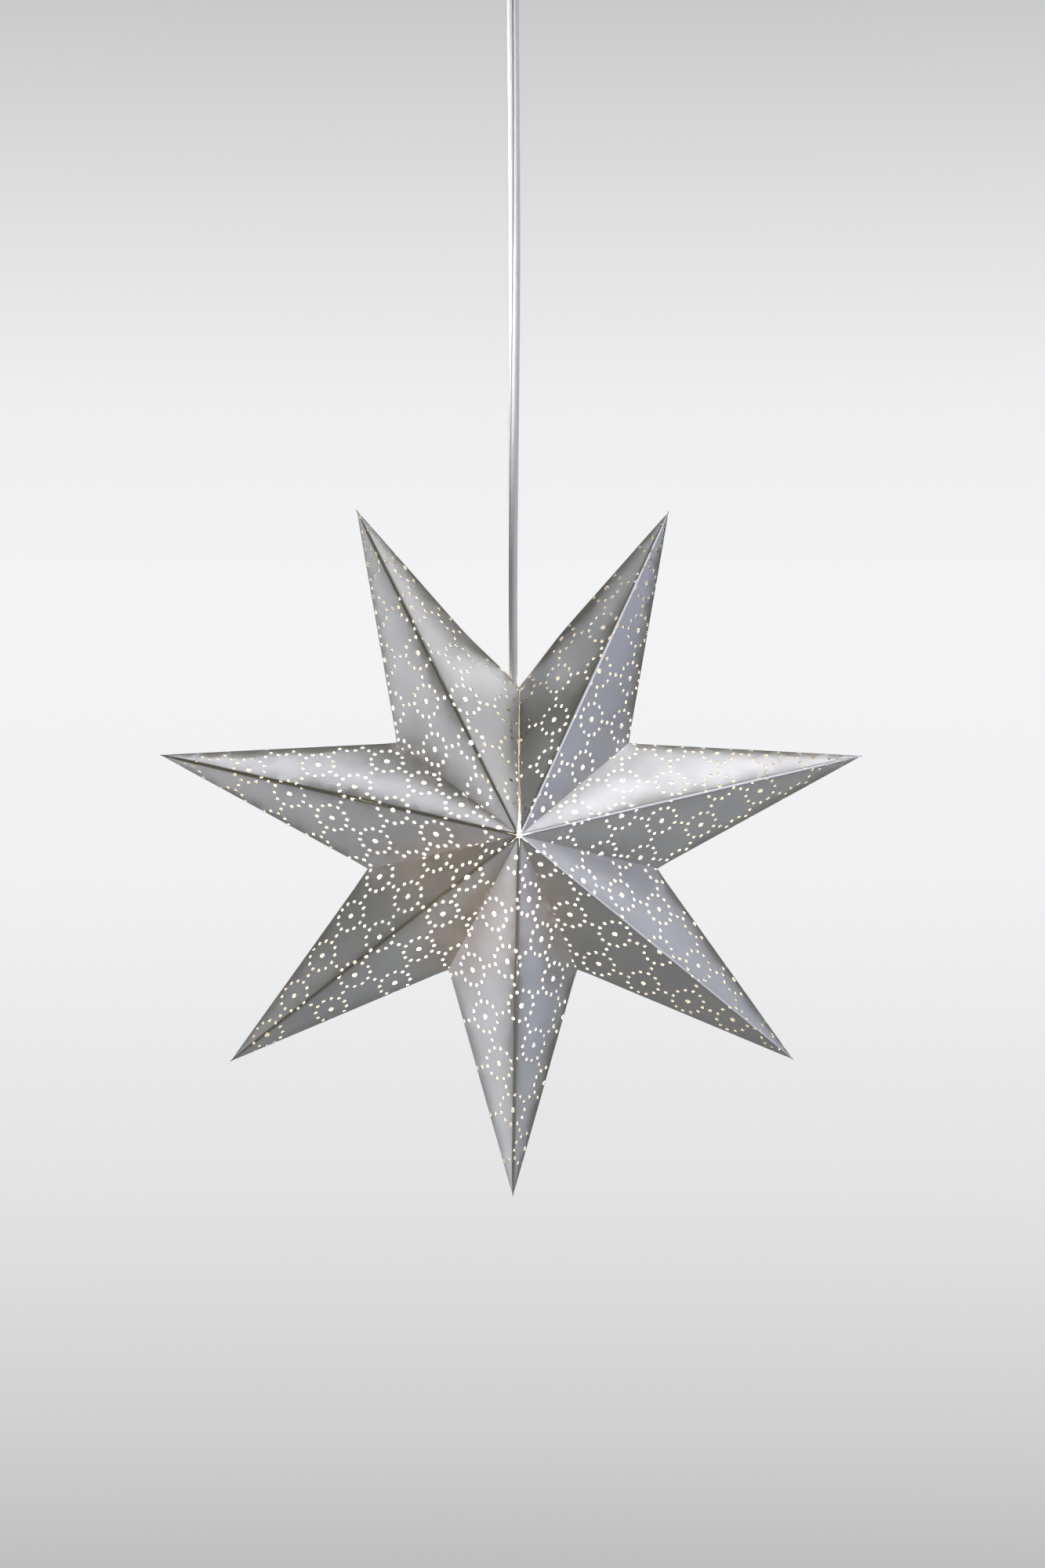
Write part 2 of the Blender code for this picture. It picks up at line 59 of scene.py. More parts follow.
# Punched pattern: square cells, each a ring of small holes round a large one, and single holes
# between the rings. Each arm's sheet has the pattern at its own phase, and one half mirrors the other
CELL = 0.03064
RING = 0.3295 * CELL
RING_HOLES = 12
SMALL_HOLE = 0.00122
LARGE_HOLE = 0.00178
HOLE_SIDES = 10
THIN_STRIP = 0.00030
PHASE_AND_HALF = {
    "upper_left": (0.0070, 0.0025, 1),
    "left": (-0.0065, -0.0040, 1),
    "lower_left": (-0.0015, 0.0135, 0),
    "bottom": (-0.0050, -0.0090, 0),
    "lower_right": (-0.0120, 0.0135, 0),
    "right": (0.0035, 0.0060, 1),
    "upper_right": (-0.0110, 0.0115, 0),
}
SMALLEST_HOLE = 0.0006

# Creases and the soft shape of the paper
OUTLINE_RADIUS = 0.00075
RIDGE_RADIUS = 0.0017
VALLEY_RADIUS = 0.0008
CREASE_STEPS = 4
EDGE_STEP = 0.008
FILL_STEP = 0.009
CLEAR_OF_HOLE = 0.001
FOLD_LIMIT = math.radians(77.35)
FOLD_GAP = 0.00003
THIN_EDGE = 0.00006
BOW = 0.0012
RIPPLE = 0.0005
RIPPLE_SIZE = 0.05
SOFT_WIDTH = 0.008
SOFT_OUTLINE = 0.0005
SOFT_VALLEY = 0.0003
SOFT_RIDGE = 0.0001
CLOSED_APEX = 0.010

# Painted lamp light on the foil: a warm emission that stands in for the bulb's light falling on it. Its
# middle is a depth down the lamp, and it fades from near to far
PAINTED_GLOW = 0.05
PAINTED_GLOW_COLOUR = (1.0, 0.62, 0.30, 1.0)
PAINTED_GLOW_AT = 0.118
PAINTED_GLOW_NEAR = 0.045
PAINTED_GLOW_FAR = 0.078

# Seam: its upper end stands beside the cord, and the paper there bulges to let the cord in
SEAM_ROOM = 0.0004
SEAM_BEVEL = 0.0004
SEAM_SPREAD = 0.006
SEAM_CORNER = 0.0012
SEAM_SHIFT = 0.0037
SEAM_REACH = 0.035
NOTCH_LIFT = 0.0052
LIFT_FLAT = 0.005
LIFT_REACH = 0.038
EYELET_DOWN = 0.0032
EYELET_IN = 0.0019
EYELET_RADIUS = 0.0013
HEM_WIDTH = 0.0045
HEM_SIDE = 0.0022
HEM_BEHIND = 0.0008
HEM_FROM = 0.10
HEM_TO = 0.93
FLAP_WIDTH = 0.009
FLAP_FROM = 0.46
FLAP_TO = 0.90
FLAP_SIDE = 0.00045
FLAP_ROOM = 0.0008
STRIP_STEPS = 24

# Cord
CORD_WIDTH = 0.0074
CORD_THICKNESS = 0.0048
CORD_STEP = 0.004
CORD_ARC = 16
CORD_GROOVE = 0.0012
CORD_WEB = 0.0007

# Lamp
LAMP_LEAN = math.radians(8.5)
LAMP_TOP = Vector((-0.0012, 0.0, NOTCH.z - 0.012))

# Round pieces, as in the CAD source, on the lamp's axis or the ceiling fitting's. A name that ends
# in _TOP, _FOOT, _FROM, _TO or _TIP is a depth below the top of that axis
ROUND_STEPS = 96
HOLDER_RADIUS = 0.013
HOLDER_WALL = 0.0014
HOLDER_FOOT = 0.0560
GRIP_RADIUS = 0.0062
GRIP_NECK = 0.0035
GRIP_BORE = 0.0016
GRIP_SHOULDER = 0.0037
GRIP_FOOT = 0.0062
CAP_TOP = 0.0040
CAP_NECK = 0.0038
CAP_FOOT = 0.0200
SHELL_RADIUS = 0.0077
SHELL_FROM = 0.0278
SHELL_FOOT = 0.0520
E14_RADIUS = 0.00695
THREAD_PITCH = 0.00282
THREAD_DEPTH = 0.00035
BULB_FROM = 0.0320
CAP_CONE_RADIUS = 0.0045
GLASS_FROM = 0.0563
GLASS_NECK = 0.0062
GLASS_SWELL = 0.030
BULB_TIP = 0.1280
BULB_RADIUS = 0.0175
GLASS_WALL = 0.0008
TIP_SHARPNESS = 1.15
STEM_FROM = 0.0570
STEM_FLARE = 0.0045
STEM_RADIUS = 0.0013
STEM_TO = 0.1140
FILAMENT_FROM = 0.0740
FILAMENT_TO = 0.1120
FILAMENT_RADIUS = 0.0009
FILAMENT_REACH_TOP = 0.0040
FILAMENT_REACH_FOOT = 0.0075
FILAMENTS = 4
CUP_RADIUS = 0.035
CUP_HEIGHT = 0.052
CUP_WALL = 0.002
CUP_RIM = 0.014
CUP_FLAT = 0.011
OUTLET_HOLE = 0.0053
OUTLET_RADIUS = 0.0075
OUTLET_FROM = 0.0420
OUTLET_TIP = 0.0650
OUTLET_MOUTH = 0.0042


# ---------------- camera


def make_camera():
    """The camera stands a little to the left of the star's axis, level with its centre."""
    distance = 2.6
    to_left = math.radians(3.5)
    frame_height = 0.9926
    data = bpy.data.cameras.new("camera")
    data.sensor_width = 36.0
    data.lens = data.sensor_width * distance / frame_height
    data.shift_x = 0.0061
    data.shift_y = 0.0329
    camera = bpy.data.objects.new("camera", data)
    back = Vector((-math.sin(to_left), -math.cos(to_left), 0.0))
    camera.location = CENTRE + back * distance
    camera.rotation_euler = (-back).to_track_quat("-Z", "Y").to_euler()
    bpy.context.scene.collection.objects.link(camera)
    bpy.context.scene.camera = camera


make_camera()


# ---------------- shared helpers


def link(obj):
    bpy.context.scene.collection.objects.link(obj)
    return obj


def add_node(tree, kind, **values):
    """A new node, with its properties and its sockets' values."""
    node = tree.nodes.new(kind)
    for key, value in values.items():
        if hasattr(node, key):
            setattr(node, key, value)
        else:
            node.inputs[key.replace("_", " ")].default_value = value
    return node


def ramp_stops(tree, source, stops):
    """A colour ramp through (place, (red, green, blue)) stops."""
    ramp = add_node(tree, "ShaderNodeValToRGB")
    while len(ramp.color_ramp.elements) < len(stops):
        ramp.color_ramp.elements.new(0.5)
    for element, (place, colour) in zip(ramp.color_ramp.elements, stops):
        element.position = place
        element.color = (*colour, 1.0)
    tree.links.new(source, ramp.inputs["Fac"])
    return ramp.outputs["Color"]


class Surface:
    """A node material: its shader, and the nodes that feed it."""

    def __init__(self, name):
        self.material = bpy.data.materials.new(name)
        self.material.use_nodes = True
        self.tree = self.material.node_tree
        self.shader = self.tree.nodes["Principled BSDF"]

    def add(self, kind, **values):
        return add_node(self.tree, kind, **values)

    def set(self, **values):
        """Values on the shader's own sockets."""
        for key, value in values.items():
            self.shader.inputs[key.replace("_", " ")].default_value = value

    def feed(self, socket, source):
        self.tree.links.new(source, self.shader.inputs[socket])

    def noise(self, scale, detail=3.0, roughness=0.5):
        """Noise in the object's own coordinates, which are metres in the row frame."""
        where = self.add("ShaderNodeTexCoord")
        texture = self.add("ShaderNodeTexNoise", Scale=scale, Detail=detail, Roughness=roughness)
        self.tree.links.new(where.outputs["Object"], texture.inputs["Vector"])
        return texture.outputs["Fac"]

    def colour(self, source, low, high, start=0.3, end=0.7):
        """The base colour goes from low to high as the source rises from start to end."""
        made = ramp_stops(self.tree, source, ((start, low), (end, high)))
        self.feed("Base Color", made)
        return made

    def rough(self, source, low, high):
        spread = self.add("ShaderNodeMapRange", To_Min=low, To_Max=high)
        self.tree.links.new(source, spread.inputs["Value"])
        self.feed("Roughness", spread.outputs["Result"])

    def bump(self, source, distance, strength=1.0, under=None):
        node = self.add("ShaderNodeBump", Strength=strength, Distance=distance)
        self.tree.links.new(source, node.inputs["Height"])
        if under is not None:
            self.tree.links.new(under, node.inputs["Normal"])
        self.feed("Normal", node.outputs["Normal"])
        return node.outputs["Normal"]


def catmull_rom(points, spacing):
    """Points read off one smooth curve through the route, about a spacing apart."""
    ends = [2 * points[0] - points[1], *points, 2 * points[-1] - points[-2]]
    out = []
    for p0, p1, p2, p3 in zip(ends, ends[1:], ends[2:], ends[3:]):
        count = max(1, round((p2 - p1).length / spacing))
        for step in range(count):
            t = step / count
            curve = 2 * p1 + (p2 - p0) * t + (2 * p0 - 5 * p1 + 4 * p2 - p3) * t * t
            out.append(0.5 * (curve + (3 * p1 - p0 - 3 * p2 + p3) * t * t * t))
    return [*out, points[-1]]


def shade_round(mesh, degrees=35):
    mesh.shade_smooth()
    mesh.set_sharp_from_angle(angle=math.radians(degrees))


def lamp_point(depth, x=0.0, y=0.0):
    """A point of the lamp, depth below the top of its cord grip, along its leaning axis."""
    return LAMP_TOP + Matrix.Rotation(LAMP_LEAN, 3, "Y") @ Vector((x, y, -depth))


def smooth(share):
    share = np.clip(share, 0.0, 1.0)
    return share * share * (3.0 - 2.0 * share)


def rounded(profile, reach):
    """The closed outline with its sharp corners rounded off, reach along each side."""
    points = [Vector(point) for point in profile]
    out = []
    for before, here, after in zip([points[-1], *points[:-1]], points, [*points[1:], points[0]]):
        back = before - here
        ahead = after - here
        if here.x == 0.0 or math.pi - back.angle(ahead) < math.radians(20):
            out.append(here)
            continue
        start = here + back.normalized() * min(reach, 0.49 * back.length)
        end = here + ahead.normalized() * min(reach, 0.49 * ahead.length)
        for t in (0.0, 0.3, 0.7, 1.0):
            out.append(start.lerp(here, t).lerp(here.lerp(end, t), t))
    return out


def bridge_rings(bm, ring, following):
    for step in range(ROUND_STEPS):
        after = (step + 1) % ROUND_STEPS
        corners = (
            ring[step % len(ring)],
            ring[after % len(ring)],
            following[after % len(following)],
            following[step % len(following)],
        )
        bm.faces.new(list(dict.fromkeys(corners)))


def finish_mesh(name, bm, made, sharp=35):
    bmesh.ops.recalc_face_normals(bm, faces=bm.faces)
    mesh = bpy.data.meshes.new(name)
    bm.to_mesh(mesh)
    bm.free()
    shade_round(mesh, sharp)
    mesh.materials.append(made)
    return link(bpy.data.objects.new(name, mesh))


def turned(name, profile, place, made, closed=True, groove=None):
    """A piece turned round an axis, from (radius, depth) points; groove cuts a thread into it."""
    bm = bmesh.new()
    rings = []
    for radius, depth in profile:
        count = 1 if radius == 0.0 else ROUND_STEPS
        ring = []
        for step in range(count):
            turn = 2 * math.pi * step / ROUND_STEPS
            reach = radius - (groove(radius, depth, turn) if groove else 0.0)
            ring.append(bm.verts.new(place(depth, reach * math.cos(turn), reach * math.sin(turn))))
        rings.append(ring)
    pairs = list(zip(rings, rings[1:]))
    if closed:
        pairs.append((rings[-1], rings[0]))
    for ring, following in pairs:
        if len(ring) > 1 or len(following) > 1:
            bridge_rings(bm, ring, following)
    return finish_mesh(name, bm, made)


def add_tube(bm, path, radius, sides=12):
    """A tube with closed ends along the path, turned as little as possible."""
    rings = []
    across = None
    for number, point in enumerate(path):
        before = path[max(number - 1, 0)]
        after = path[min(number + 1, len(path) - 1)]
        along = (after - before).normalized()
        if across is None:
            across = along.orthogonal()
        across = (across - along * across.dot(along)).normalized()
        deep = along.cross(across)
        angles = [2 * math.pi * step / sides for step in range(sides)]
        rings.append([
            bm.verts.new(point + (across * math.cos(a) + deep * math.sin(a)) * radius) for a in angles
        ])
    for ring, following in zip(rings, rings[1:]):
        for step in range(sides):
            after = (step + 1) % sides
            bm.faces.new((ring[step], ring[after], following[after], following[step]))
    bm.faces.new(rings[0])
    bm.faces.new(rings[-1])


def stands_for(piece, node, body):
    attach(piece, body)
    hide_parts(node)
    return piece


def plastic_material(name, low, high, roughness=0.32):
    """Moulded plastic: faint clouding, uneven gloss and a fine moulded grain."""
    plastic = Surface(name)
    cloud = plastic.noise(60.0, 4.0)
    plastic.colour(cloud, low, high)
    plastic.rough(cloud, roughness - 0.06, roughness + 0.08)
    plastic.bump(plastic.noise(2500.0, 2.0), 0.00003, 0.3)
    return plastic.material


def metal_material(name, low, high, roughness=0.28):
    """Plated metal: slight tarnish in its colour and gloss, with fine drawing marks."""
    metal = Surface(name)
    metal.set(Metallic=1.0)
    tarnish = metal.noise(180.0, 6.0, 0.6)
    metal.colour(tarnish, low, high)
    metal.rough(tarnish, roughness - 0.08, roughness + 0.15)
    metal.bump(metal.noise(4000.0, 2.0), 0.00002, 0.4)
    return metal.material


# ---------------- cord and its outlet


def ceiling_point(depth, x=0.0, y=0.0):
    return Vector((x, y, -depth))


def make_outlet():
    """The strain relief: a stem through the cup, a flange, and a ribbed taper round the cord."""
    made = plastic_material("outlet_plastic", (0.74, 0.73, 0.72), (0.82, 0.81, 0.79), 0.42)
    stem = OUTLET_HOLE - 0.0004
    flange = 0.0022
    bore = 0.0039
    ribs = 4
    foot = CUP_HEIGHT + 0.0003
    profile = [(bore, OUTLET_FROM), (stem, OUTLET_FROM), (stem, foot), (OUTLET_RADIUS, foot)]
    profile.append((OUTLET_RADIUS, foot + flange))
    first = foot + flange
    pitch = (OUTLET_TIP - 0.0012 - first) / ribs
    for rib in range(ribs):
        reach = OUTLET_RADIUS - 0.0010 - 0.00035 * rib
        top = first + rib * pitch
        profile += [(reach, top), (reach, top + 0.6 * pitch)]
        profile += [(reach - 0.0005, top + 0.65 * pitch), (reach - 0.0005, top + 0.95 * pitch)]
    profile += [(0.0053, OUTLET_TIP - 0.0010), (0.0050, OUTLET_TIP)]
    profile += [(OUTLET_MOUTH + 0.0003, OUTLET_TIP), (bore, OUTLET_TIP - 0.003)]
    outlet = turned("outlet_strain_relief", rounded(profile, 0.0003), ceiling_point, made)
    return stands_for(outlet, "cord_outlet", "outlet")


def cord_material():
    """Satin PVC, faintly clouded."""
    pvc = Surface("satin_pvc")
    pvc.set(Specular_IOR_Level=0.5)
    pvc.colour(pvc.noise(30.0), (0.80, 0.79, 0.83), (0.87, 0.86, 0.88))
    fine = pvc.noise(900.0)
    pvc.rough(fine, 0.32, 0.46)
    pvc.bump(fine, 0.00002, 0.3)
    return pvc.material


def cord_section(turn):
    """The flat cord's section: two round cores side by side, with a sharp groove between them."""
    half_gap = (CORD_WIDTH - CORD_THICKNESS) / 2
    core = CORD_THICKNESS / 2
    last = math.acos(-(half_gap - CORD_GROOVE / 2) / core)
    points = []
    for side in (1.0, -1.0):
        for step in range(CORD_ARC + 1):
            angle = last * (2 * step / CORD_ARC - 1)
            x, y = half_gap + core * math.cos(angle), core * math.sin(angle)
            points.append((side * x, side * y))
        points.append((0.0, side * CORD_WEB))
    cos, sin = math.cos(turn), math.sin(turn)
    return [(x * cos - y * sin, x * sin + y * cos) for x, y in points]


def make_cord(outlet):
    """The cord hangs taut from the outlet, drifts a little, and turns into the leaning lampholder."""
    end_gap = 0.0003
    route = [
        Vector((0.0, 0.0, CORD_TOP.z)),
        Vector((0.0, 0.0, CORD_TOP.z - 0.030)),
        Vector((0.0005, 0.0, -0.150)),
        Vector((0.0010, 0.0, -0.240)),
        Vector((0.0008, 0.0, -0.320)),
        Vector((0.0003, 0.0, -0.400)),
        Vector((0.0000, 0.0, -0.460)),
        Vector((0.0002, 0.0, NOTCH.z + 0.015)),
        lamp_point(-0.008),
        lamp_point(-end_gap),
    ]
    centres = catmull_rom(route, CORD_STEP)
    face_on, edge_on = math.radians(2), math.radians(84)
    bm = bmesh.new()
    rings = []
    for number, centre in enumerate(centres):
        before = centres[max(number - 1, 0)]
        after = centres[min(number + 1, len(centres) - 1)]
        along = (after - before).normalized()
        across = Vector((0.0, 1.0, 0.0)).cross(along).normalized()
        deep = along.cross(across)
        t = min(1.0, max(0.0, (CORD_TOP.z - centre.z) / (CORD_TOP.z - NOTCH.z)))
        turn = face_on + (edge_on - face_on) * t * t * (3 - 2 * t)
        ring = [bm.verts.new(centre + across * x + deep * y) for x, y in cord_section(turn)]
        rings.append(ring)
    for ring, following in zip(rings, rings[1:]):
        for step in range(len(ring)):
            bm.faces.new((ring[step - 1], ring[step], following[step], following[step - 1]))
    bm.faces.new(rings[0])
    bm.faces.new(rings[-1])
    cord = finish_mesh("flat_cord", bm, cord_material(), 50)
    stands_for(cord, "power_cord", "pendant")


make_cord(make_outlet())


# ---------------- star paper


def foil_material():
    """Silver foil on paper: satin metal with the paper's grain, and painted lamp light, a warm emission
    by the bulb.
    """
    foil = Surface("silver_foil")
    foil.set(Metallic=1.0, Emission_Color=PAINTED_GLOW_COLOUR)
    foil.colour(foil.noise(22.0, 4.0), (0.66, 0.66, 0.675), (0.74, 0.74, 0.75), 0.25, 0.75)
    where = foil.add("ShaderNodeTexCoord")
    apart = foil.add("ShaderNodeVectorMath", operation="DISTANCE")
    apart.inputs[1].default_value = lamp_point(PAINTED_GLOW_AT)
    foil.tree.links.new(where.outputs["Object"], apart.inputs[0])
    # Painted light: the foil emits warm light near the bulb, fading with distance from it
    glow = foil.add("ShaderNodeMapRange", From_Min=PAINTED_GLOW_NEAR, From_Max=PAINTED_GLOW_FAR, To_Min=PAINTED_GLOW, To_Max=0.0)
    glow.interpolation_type = "SMOOTHSTEP"
    foil.tree.links.new(apart.outputs["Value"], glow.inputs["Value"])
    foil.feed("Emission Strength", glow.outputs["Result"])
    foil.material.cycles.emission_sampling = "NONE"
    foil.rough(foil.noise(60.0, 5.0), 0.28, 0.40)
    wave = foil.bump(foil.noise(45.0, 3.0), 0.0006, 0.25)
    foil.bump(foil.noise(1500.0, 2.0), 0.00002, 0.5, under=wave)
    return foil.material


def fibre_material(name, low, high, roughness, scale, depth, strength, detail=5.0, mix=0.6):
    """Paper or cotton: matt, with its fibres in its colour and its relief."""
    made = Surface(name)
    fibre = made.noise(scale, detail, mix)
    made.colour(fibre, low, high)
    made.set(Roughness=roughness)
    made.bump(fibre, depth, strength)
    return made.material


def paper_material(name, low, high):
    return fibre_material(name, low, high, 0.75, 700.0, 0.00006, 0.5)


def on_circle(radius, turn, y=0.0):
    """A point around the star's axis; turn is clockwise from the top as seen from the front."""
    return CENTRE + Vector((radius * math.sin(turn), y, radius * math.cos(turn)))


class Facet:
    """One flat panel's frame: u runs from the tip along the outer edge, v inward, w outward."""

    def __init__(self, arm, half, front):
        self.tip = on_circle(TIP_RADIUS, -(2 * arm + 1) * SECTOR)
        self.notch = on_circle(NOTCH_RADIUS, -2 * (arm + half) * SECTOR)
        self.apex = on_circle(0.0, 0.0, -HALF_DEPTH if front else HALF_DEPTH)
        self.u = (self.notch - self.tip).normalized()
        inward = self.apex - self.tip
        self.v = (inward - self.u * inward.dot(self.u)).normalized()
        self.w = self.u.cross(self.v)
        if self.w.y * (-1.0 if front else 1.0) < 0.0:
            self.w = -self.w
        self.corners = [Vector((0.0, 0.0)), self.flat(self.notch), self.flat(self.apex)]
        self.ridge = self.corners[2].normalized()

    def flat(self, point):
        return Vector(((point - self.tip).dot(self.u), (point - self.tip).dot(self.v)))

    def half_turn(self, mirror_normal):
        """Half the angle that the paper turns through at a crease in the given mirror plane."""
        return math.asin(abs(self.w.dot(mirror_normal.normalized())))


def crease_edges(facet, on_seam):
    """For each edge of the facet: where it is, how far it turns, and how softly it rolls over."""
    tip, notch, apex = facet.corners
    axis = Vector((0.0, 1.0, 0.0))
    ridge_plane = axis.cross(facet.tip - CENTRE)
    valley_plane = axis.cross(facet.notch - CENTRE)
    middle = (tip + notch + apex) / 3
    rows = [
        (tip, notch, 1.0, facet.half_turn(axis), OUTLINE_RADIUS, SOFT_OUTLINE),
        (notch, apex, -1.0, facet.half_turn(valley_plane), VALLEY_RADIUS, SOFT_VALLEY),
        (apex, tip, 1.0, facet.half_turn(ridge_plane), RIDGE_RADIUS, SOFT_RIDGE),
    ]
    edges = []
    for number, (start, end, sign, turn, radius, soft) in enumerate(rows):
        along = (end - start).normalized()
        inward = Vector((-along.y, along.x))
        if inward.dot(middle - start) < 0.0:
            inward = -inward
        flat_from = (PAPER / 2) * -sign * math.tan(turn) + radius * math.tan(turn)
        edges.append({
            "start": start, "along": along, "inward": inward, "sign": sign, "turn": turn,
            "radius": radius, "soft": soft, "flat_from": flat_from, "seam": on_seam and number == 1,
        })
    return edges


def inset_loop(edges, share):
    """The facet's outline set in: share 0 is the crest of each crease, 1 is where it is flat."""
    lines = []
    for edge in edges:
        along = edge["along"]
        if edge["seam"]:
            inset = SEAM_ROOM + SEAM_BEVEL * share
            along = (along + edge["inward"] * SEAM_SPREAD).normalized()
        else:
            inset = edge["flat_from"] - edge["radius"] * math.sin(edge["turn"] * (1.0 - share))
            inset += edge["sign"] * edge["soft"] * math.tan(edge["turn"])
        lines.append((edge["start"] + edge["inward"] * inset, along))
    loop = []
    for (p, d), (q, e) in zip([lines[-1], *lines[:-1]], lines):
        cross = d.x * e.y - d.y * e.x
        reach = ((q.x - p.x) * e.y - (q.y - p.y) * e.x) / cross
        loop.append(p + d * reach)
    return loop


def cut_corner(loop, corner, reach):
    """The loop with one corner cut straight across, reach along each of its edges."""
    before, after = loop[corner - 1], loop[(corner + 1) % len(loop)]
    here = loop[corner]
    start = here + (before - here).normalized() * reach
    end = here + (after - here).normalized() * reach
    return [*loop[:corner], start, end, *loop[corner + 1 :]]


def crease_height(edges, points):
    """How far the rounded creases lift or lower the sheet at each point."""
    height = np.zeros(len(points))
    roll = np.zeros(len(points))
    for edge in edges:
        if edge["seam"]:
            continue
        moved = edge["sign"] * edge["soft"] * math.tan(edge["turn"])
        distance = (points - np.array(edge["start"])) @ np.array(edge["inward"]) - moved
        near = np.clip(1.0 - distance / SOFT_WIDTH, 0.0, 1.0)
        roll -= edge["sign"] * edge["soft"] * near * near
        into = np.clip(edge["flat_from"] - distance, 0.0, edge["radius"] * math.sin(edge["turn"]))
        drop = edge["radius"] - np.sqrt(edge["radius"] ** 2 - into**2)
        if edge["sign"] > 0.0:
            height = np.minimum(height, -drop)
        else:
            height = np.where(drop > 0.0, np.maximum(height, drop), height)
    return height + roll


def fold_room(ridge, points, height):
    """The sheet's thickness: thinner along its ridge, so that folded panels don't cross inside."""
    half_open = math.pi / 2 - ridge["turn"] - FOLD_LIMIT / 2
    distance = (points - np.array(ridge["start"])) @ np.array(ridge["inward"])
    room = height + PAPER / 2 + distance * math.tan(half_open) - FOLD_GAP
    return np.clip(room, THIN_EDGE, PAPER)


def bow_height(facet, points, seed):
    """The sheet's soft outward bow and ripples, which fade out at its creases."""
    a, b, c = (np.array(corner) for corner in facet.corners)
    across = np.column_stack((b - a, c - a))
    shares = np.linalg.solve(across, (points - a).T)
    inside = np.clip(27.0 * shares[0] * shares[1] * (1.0 - shares[0] - shares[1]), 0.0, 1.0)
    ripple = np.array([
        noise.noise(Vector((x / RIPPLE_SIZE, y / RIPPLE_SIZE, seed * 7.3))) for x, y in points
    ])
    return BOW * inside + RIPPLE * np.sqrt(inside) * ripple


def pattern_holes(arm_name, facet, half, front):
    """(u, v, radius) of each hole of the pattern that reaches the facet, in its own frame."""
    *phase, aligned = PHASE_AND_HALF[arm_name]
    phase = Vector(phase)
    top = facet.corners[2].y + CELL
    length = facet.corners[2].length + CELL
    cell = [(0.0, 0.0, LARGE_HOLE), (CELL / 2, 0.0, SMALL_HOLE), (0.0, CELL / 2, SMALL_HOLE)]
    for step in range(RING_HOLES):
        angle = 2 * math.pi * step / RING_HOLES
        cell.append((RING * math.cos(angle), RING * math.sin(angle), SMALL_HOLE))
    holes = []
    columns = range(-2, int(length / CELL) + 2)
    rows = range(-int(length / CELL) - 2, int(length / CELL) + 2)
    for column in columns:
        for row in rows:
            for x, y, radius in cell:
                spot = phase + Vector((column * CELL + x, row * CELL + y))
                if half != aligned:
                    spot = 2 * spot.dot(facet.ridge) * facet.ridge - spot
                if not front:
                    spot = Vector((spot.x, -spot.y))
                from_apex = (spot - facet.corners[2]).length
                if -CELL < spot.y < top and from_apex > CLOSED_APEX:
                    holes.append((spot, radius))
    return holes


def fitted_holes(outline, holes):
    """The holes that reach the sheet. One that would leave a thin strip at an edge is made smaller."""
    kept = []
    for spot, radius in holes:
        nearest = 1.0
        for number, start in enumerate(outline):
            end = outline[(number + 1) % len(outline)]
            along = (end - start).normalized()
            inward = Vector((-along.y, along.x))
            nearest = min(nearest, (spot - start).dot(inward))
        if nearest < -0.6 * radius:
            continue
        if abs(nearest - radius) < THIN_STRIP:
            radius = nearest - THIN_STRIP if nearest > THIN_STRIP + SMALLEST_HOLE else radius
        if nearest > radius and nearest - radius < THIN_STRIP * 0.99:
            continue
        kept.append((spot, radius))
    return kept


def subdivided(loop, step):
    points = []
    for start, end in zip(loop, [*loop[1:], loop[0]]):
        count = max(1, round((end - start).length / step))
        points += [start.lerp(end, i / count) for i in range(count)]
    return points


def counter_clockwise(loop):
    area = sum(p.x * q.y - p.y * q.x for p, q in zip(loop, [*loop[1:], loop[0]]))
    return loop if area > 0.0 else loop[::-1]


def sheet_triangles(loops, holes):
    """The sheet's points and triangles in its plane, with its holes left out."""
    points, edges = [], []

    def add_loop(loop):
        first = len(points)
        points.extend(loop)
        edges.extend((first + i, first + (i + 1) % len(loop)) for i in range(len(loop)))

    for loop in loops:
        add_loop(subdivided(loop, EDGE_STEP))
    for spot, radius in holes:
        angles = [2 * math.pi * step / HOLE_SIDES for step in range(HOLE_SIDES)]
        add_loop([spot + Vector((math.cos(a), math.sin(a))) * radius for a in angles])
    outline = loops[0]
    spots = np.array([tuple(spot) for spot, _ in holes])
    radii = np.array([radius for _, radius in holes])
    inner = loops[-1]
    low = Vector((min(p.x for p in inner), min(p.y for p in inner)))
    high = Vector((max(p.x for p in inner), max(p.y for p in inner)))
    for row in range(int((high.y - low.y) / FILL_STEP) + 1):
        for column in range(int((high.x - low.x) / FILL_STEP) + 1):
            shift = 0.5 * (row % 2)
            spot = low + Vector(((column + shift) * FILL_STEP, row * FILL_STEP))
            clear = np.hypot(*(spots - np.array(spot)).T) - radii
            if clear.min() > CLEAR_OF_HOLE and inside(np.array([spot]), inner, 0.001)[0]:
                points.append(spot)
    made = geometry.delaunay_2d_cdt(points, edges, [], 0, 1e-7, False)
    flat = np.array([tuple(p) for p in made[0]])
    faces = np.array(made[2])
    middles = flat[faces].mean(axis=1)
    keep = inside(middles, outline, 0.0)
    for spot, radius in holes:
        apart = np.hypot(middles[:, 0] - spot.x, middles[:, 1] - spot.y)
        keep &= apart > radius * math.cos(math.pi / HOLE_SIDES) * 0.999
    return flat, faces[keep]


def inside(points, loop, margin):
    """Whether each point is inside a convex loop by at least a margin."""
    found = np.ones(len(points), bool)
    for start, end in zip(loop, [*loop[1:], loop[0]]):
        along = (end - start).normalized()
        found &= (points - np.array(start)) @ np.array((-along.y, along.x)) > margin
    return found


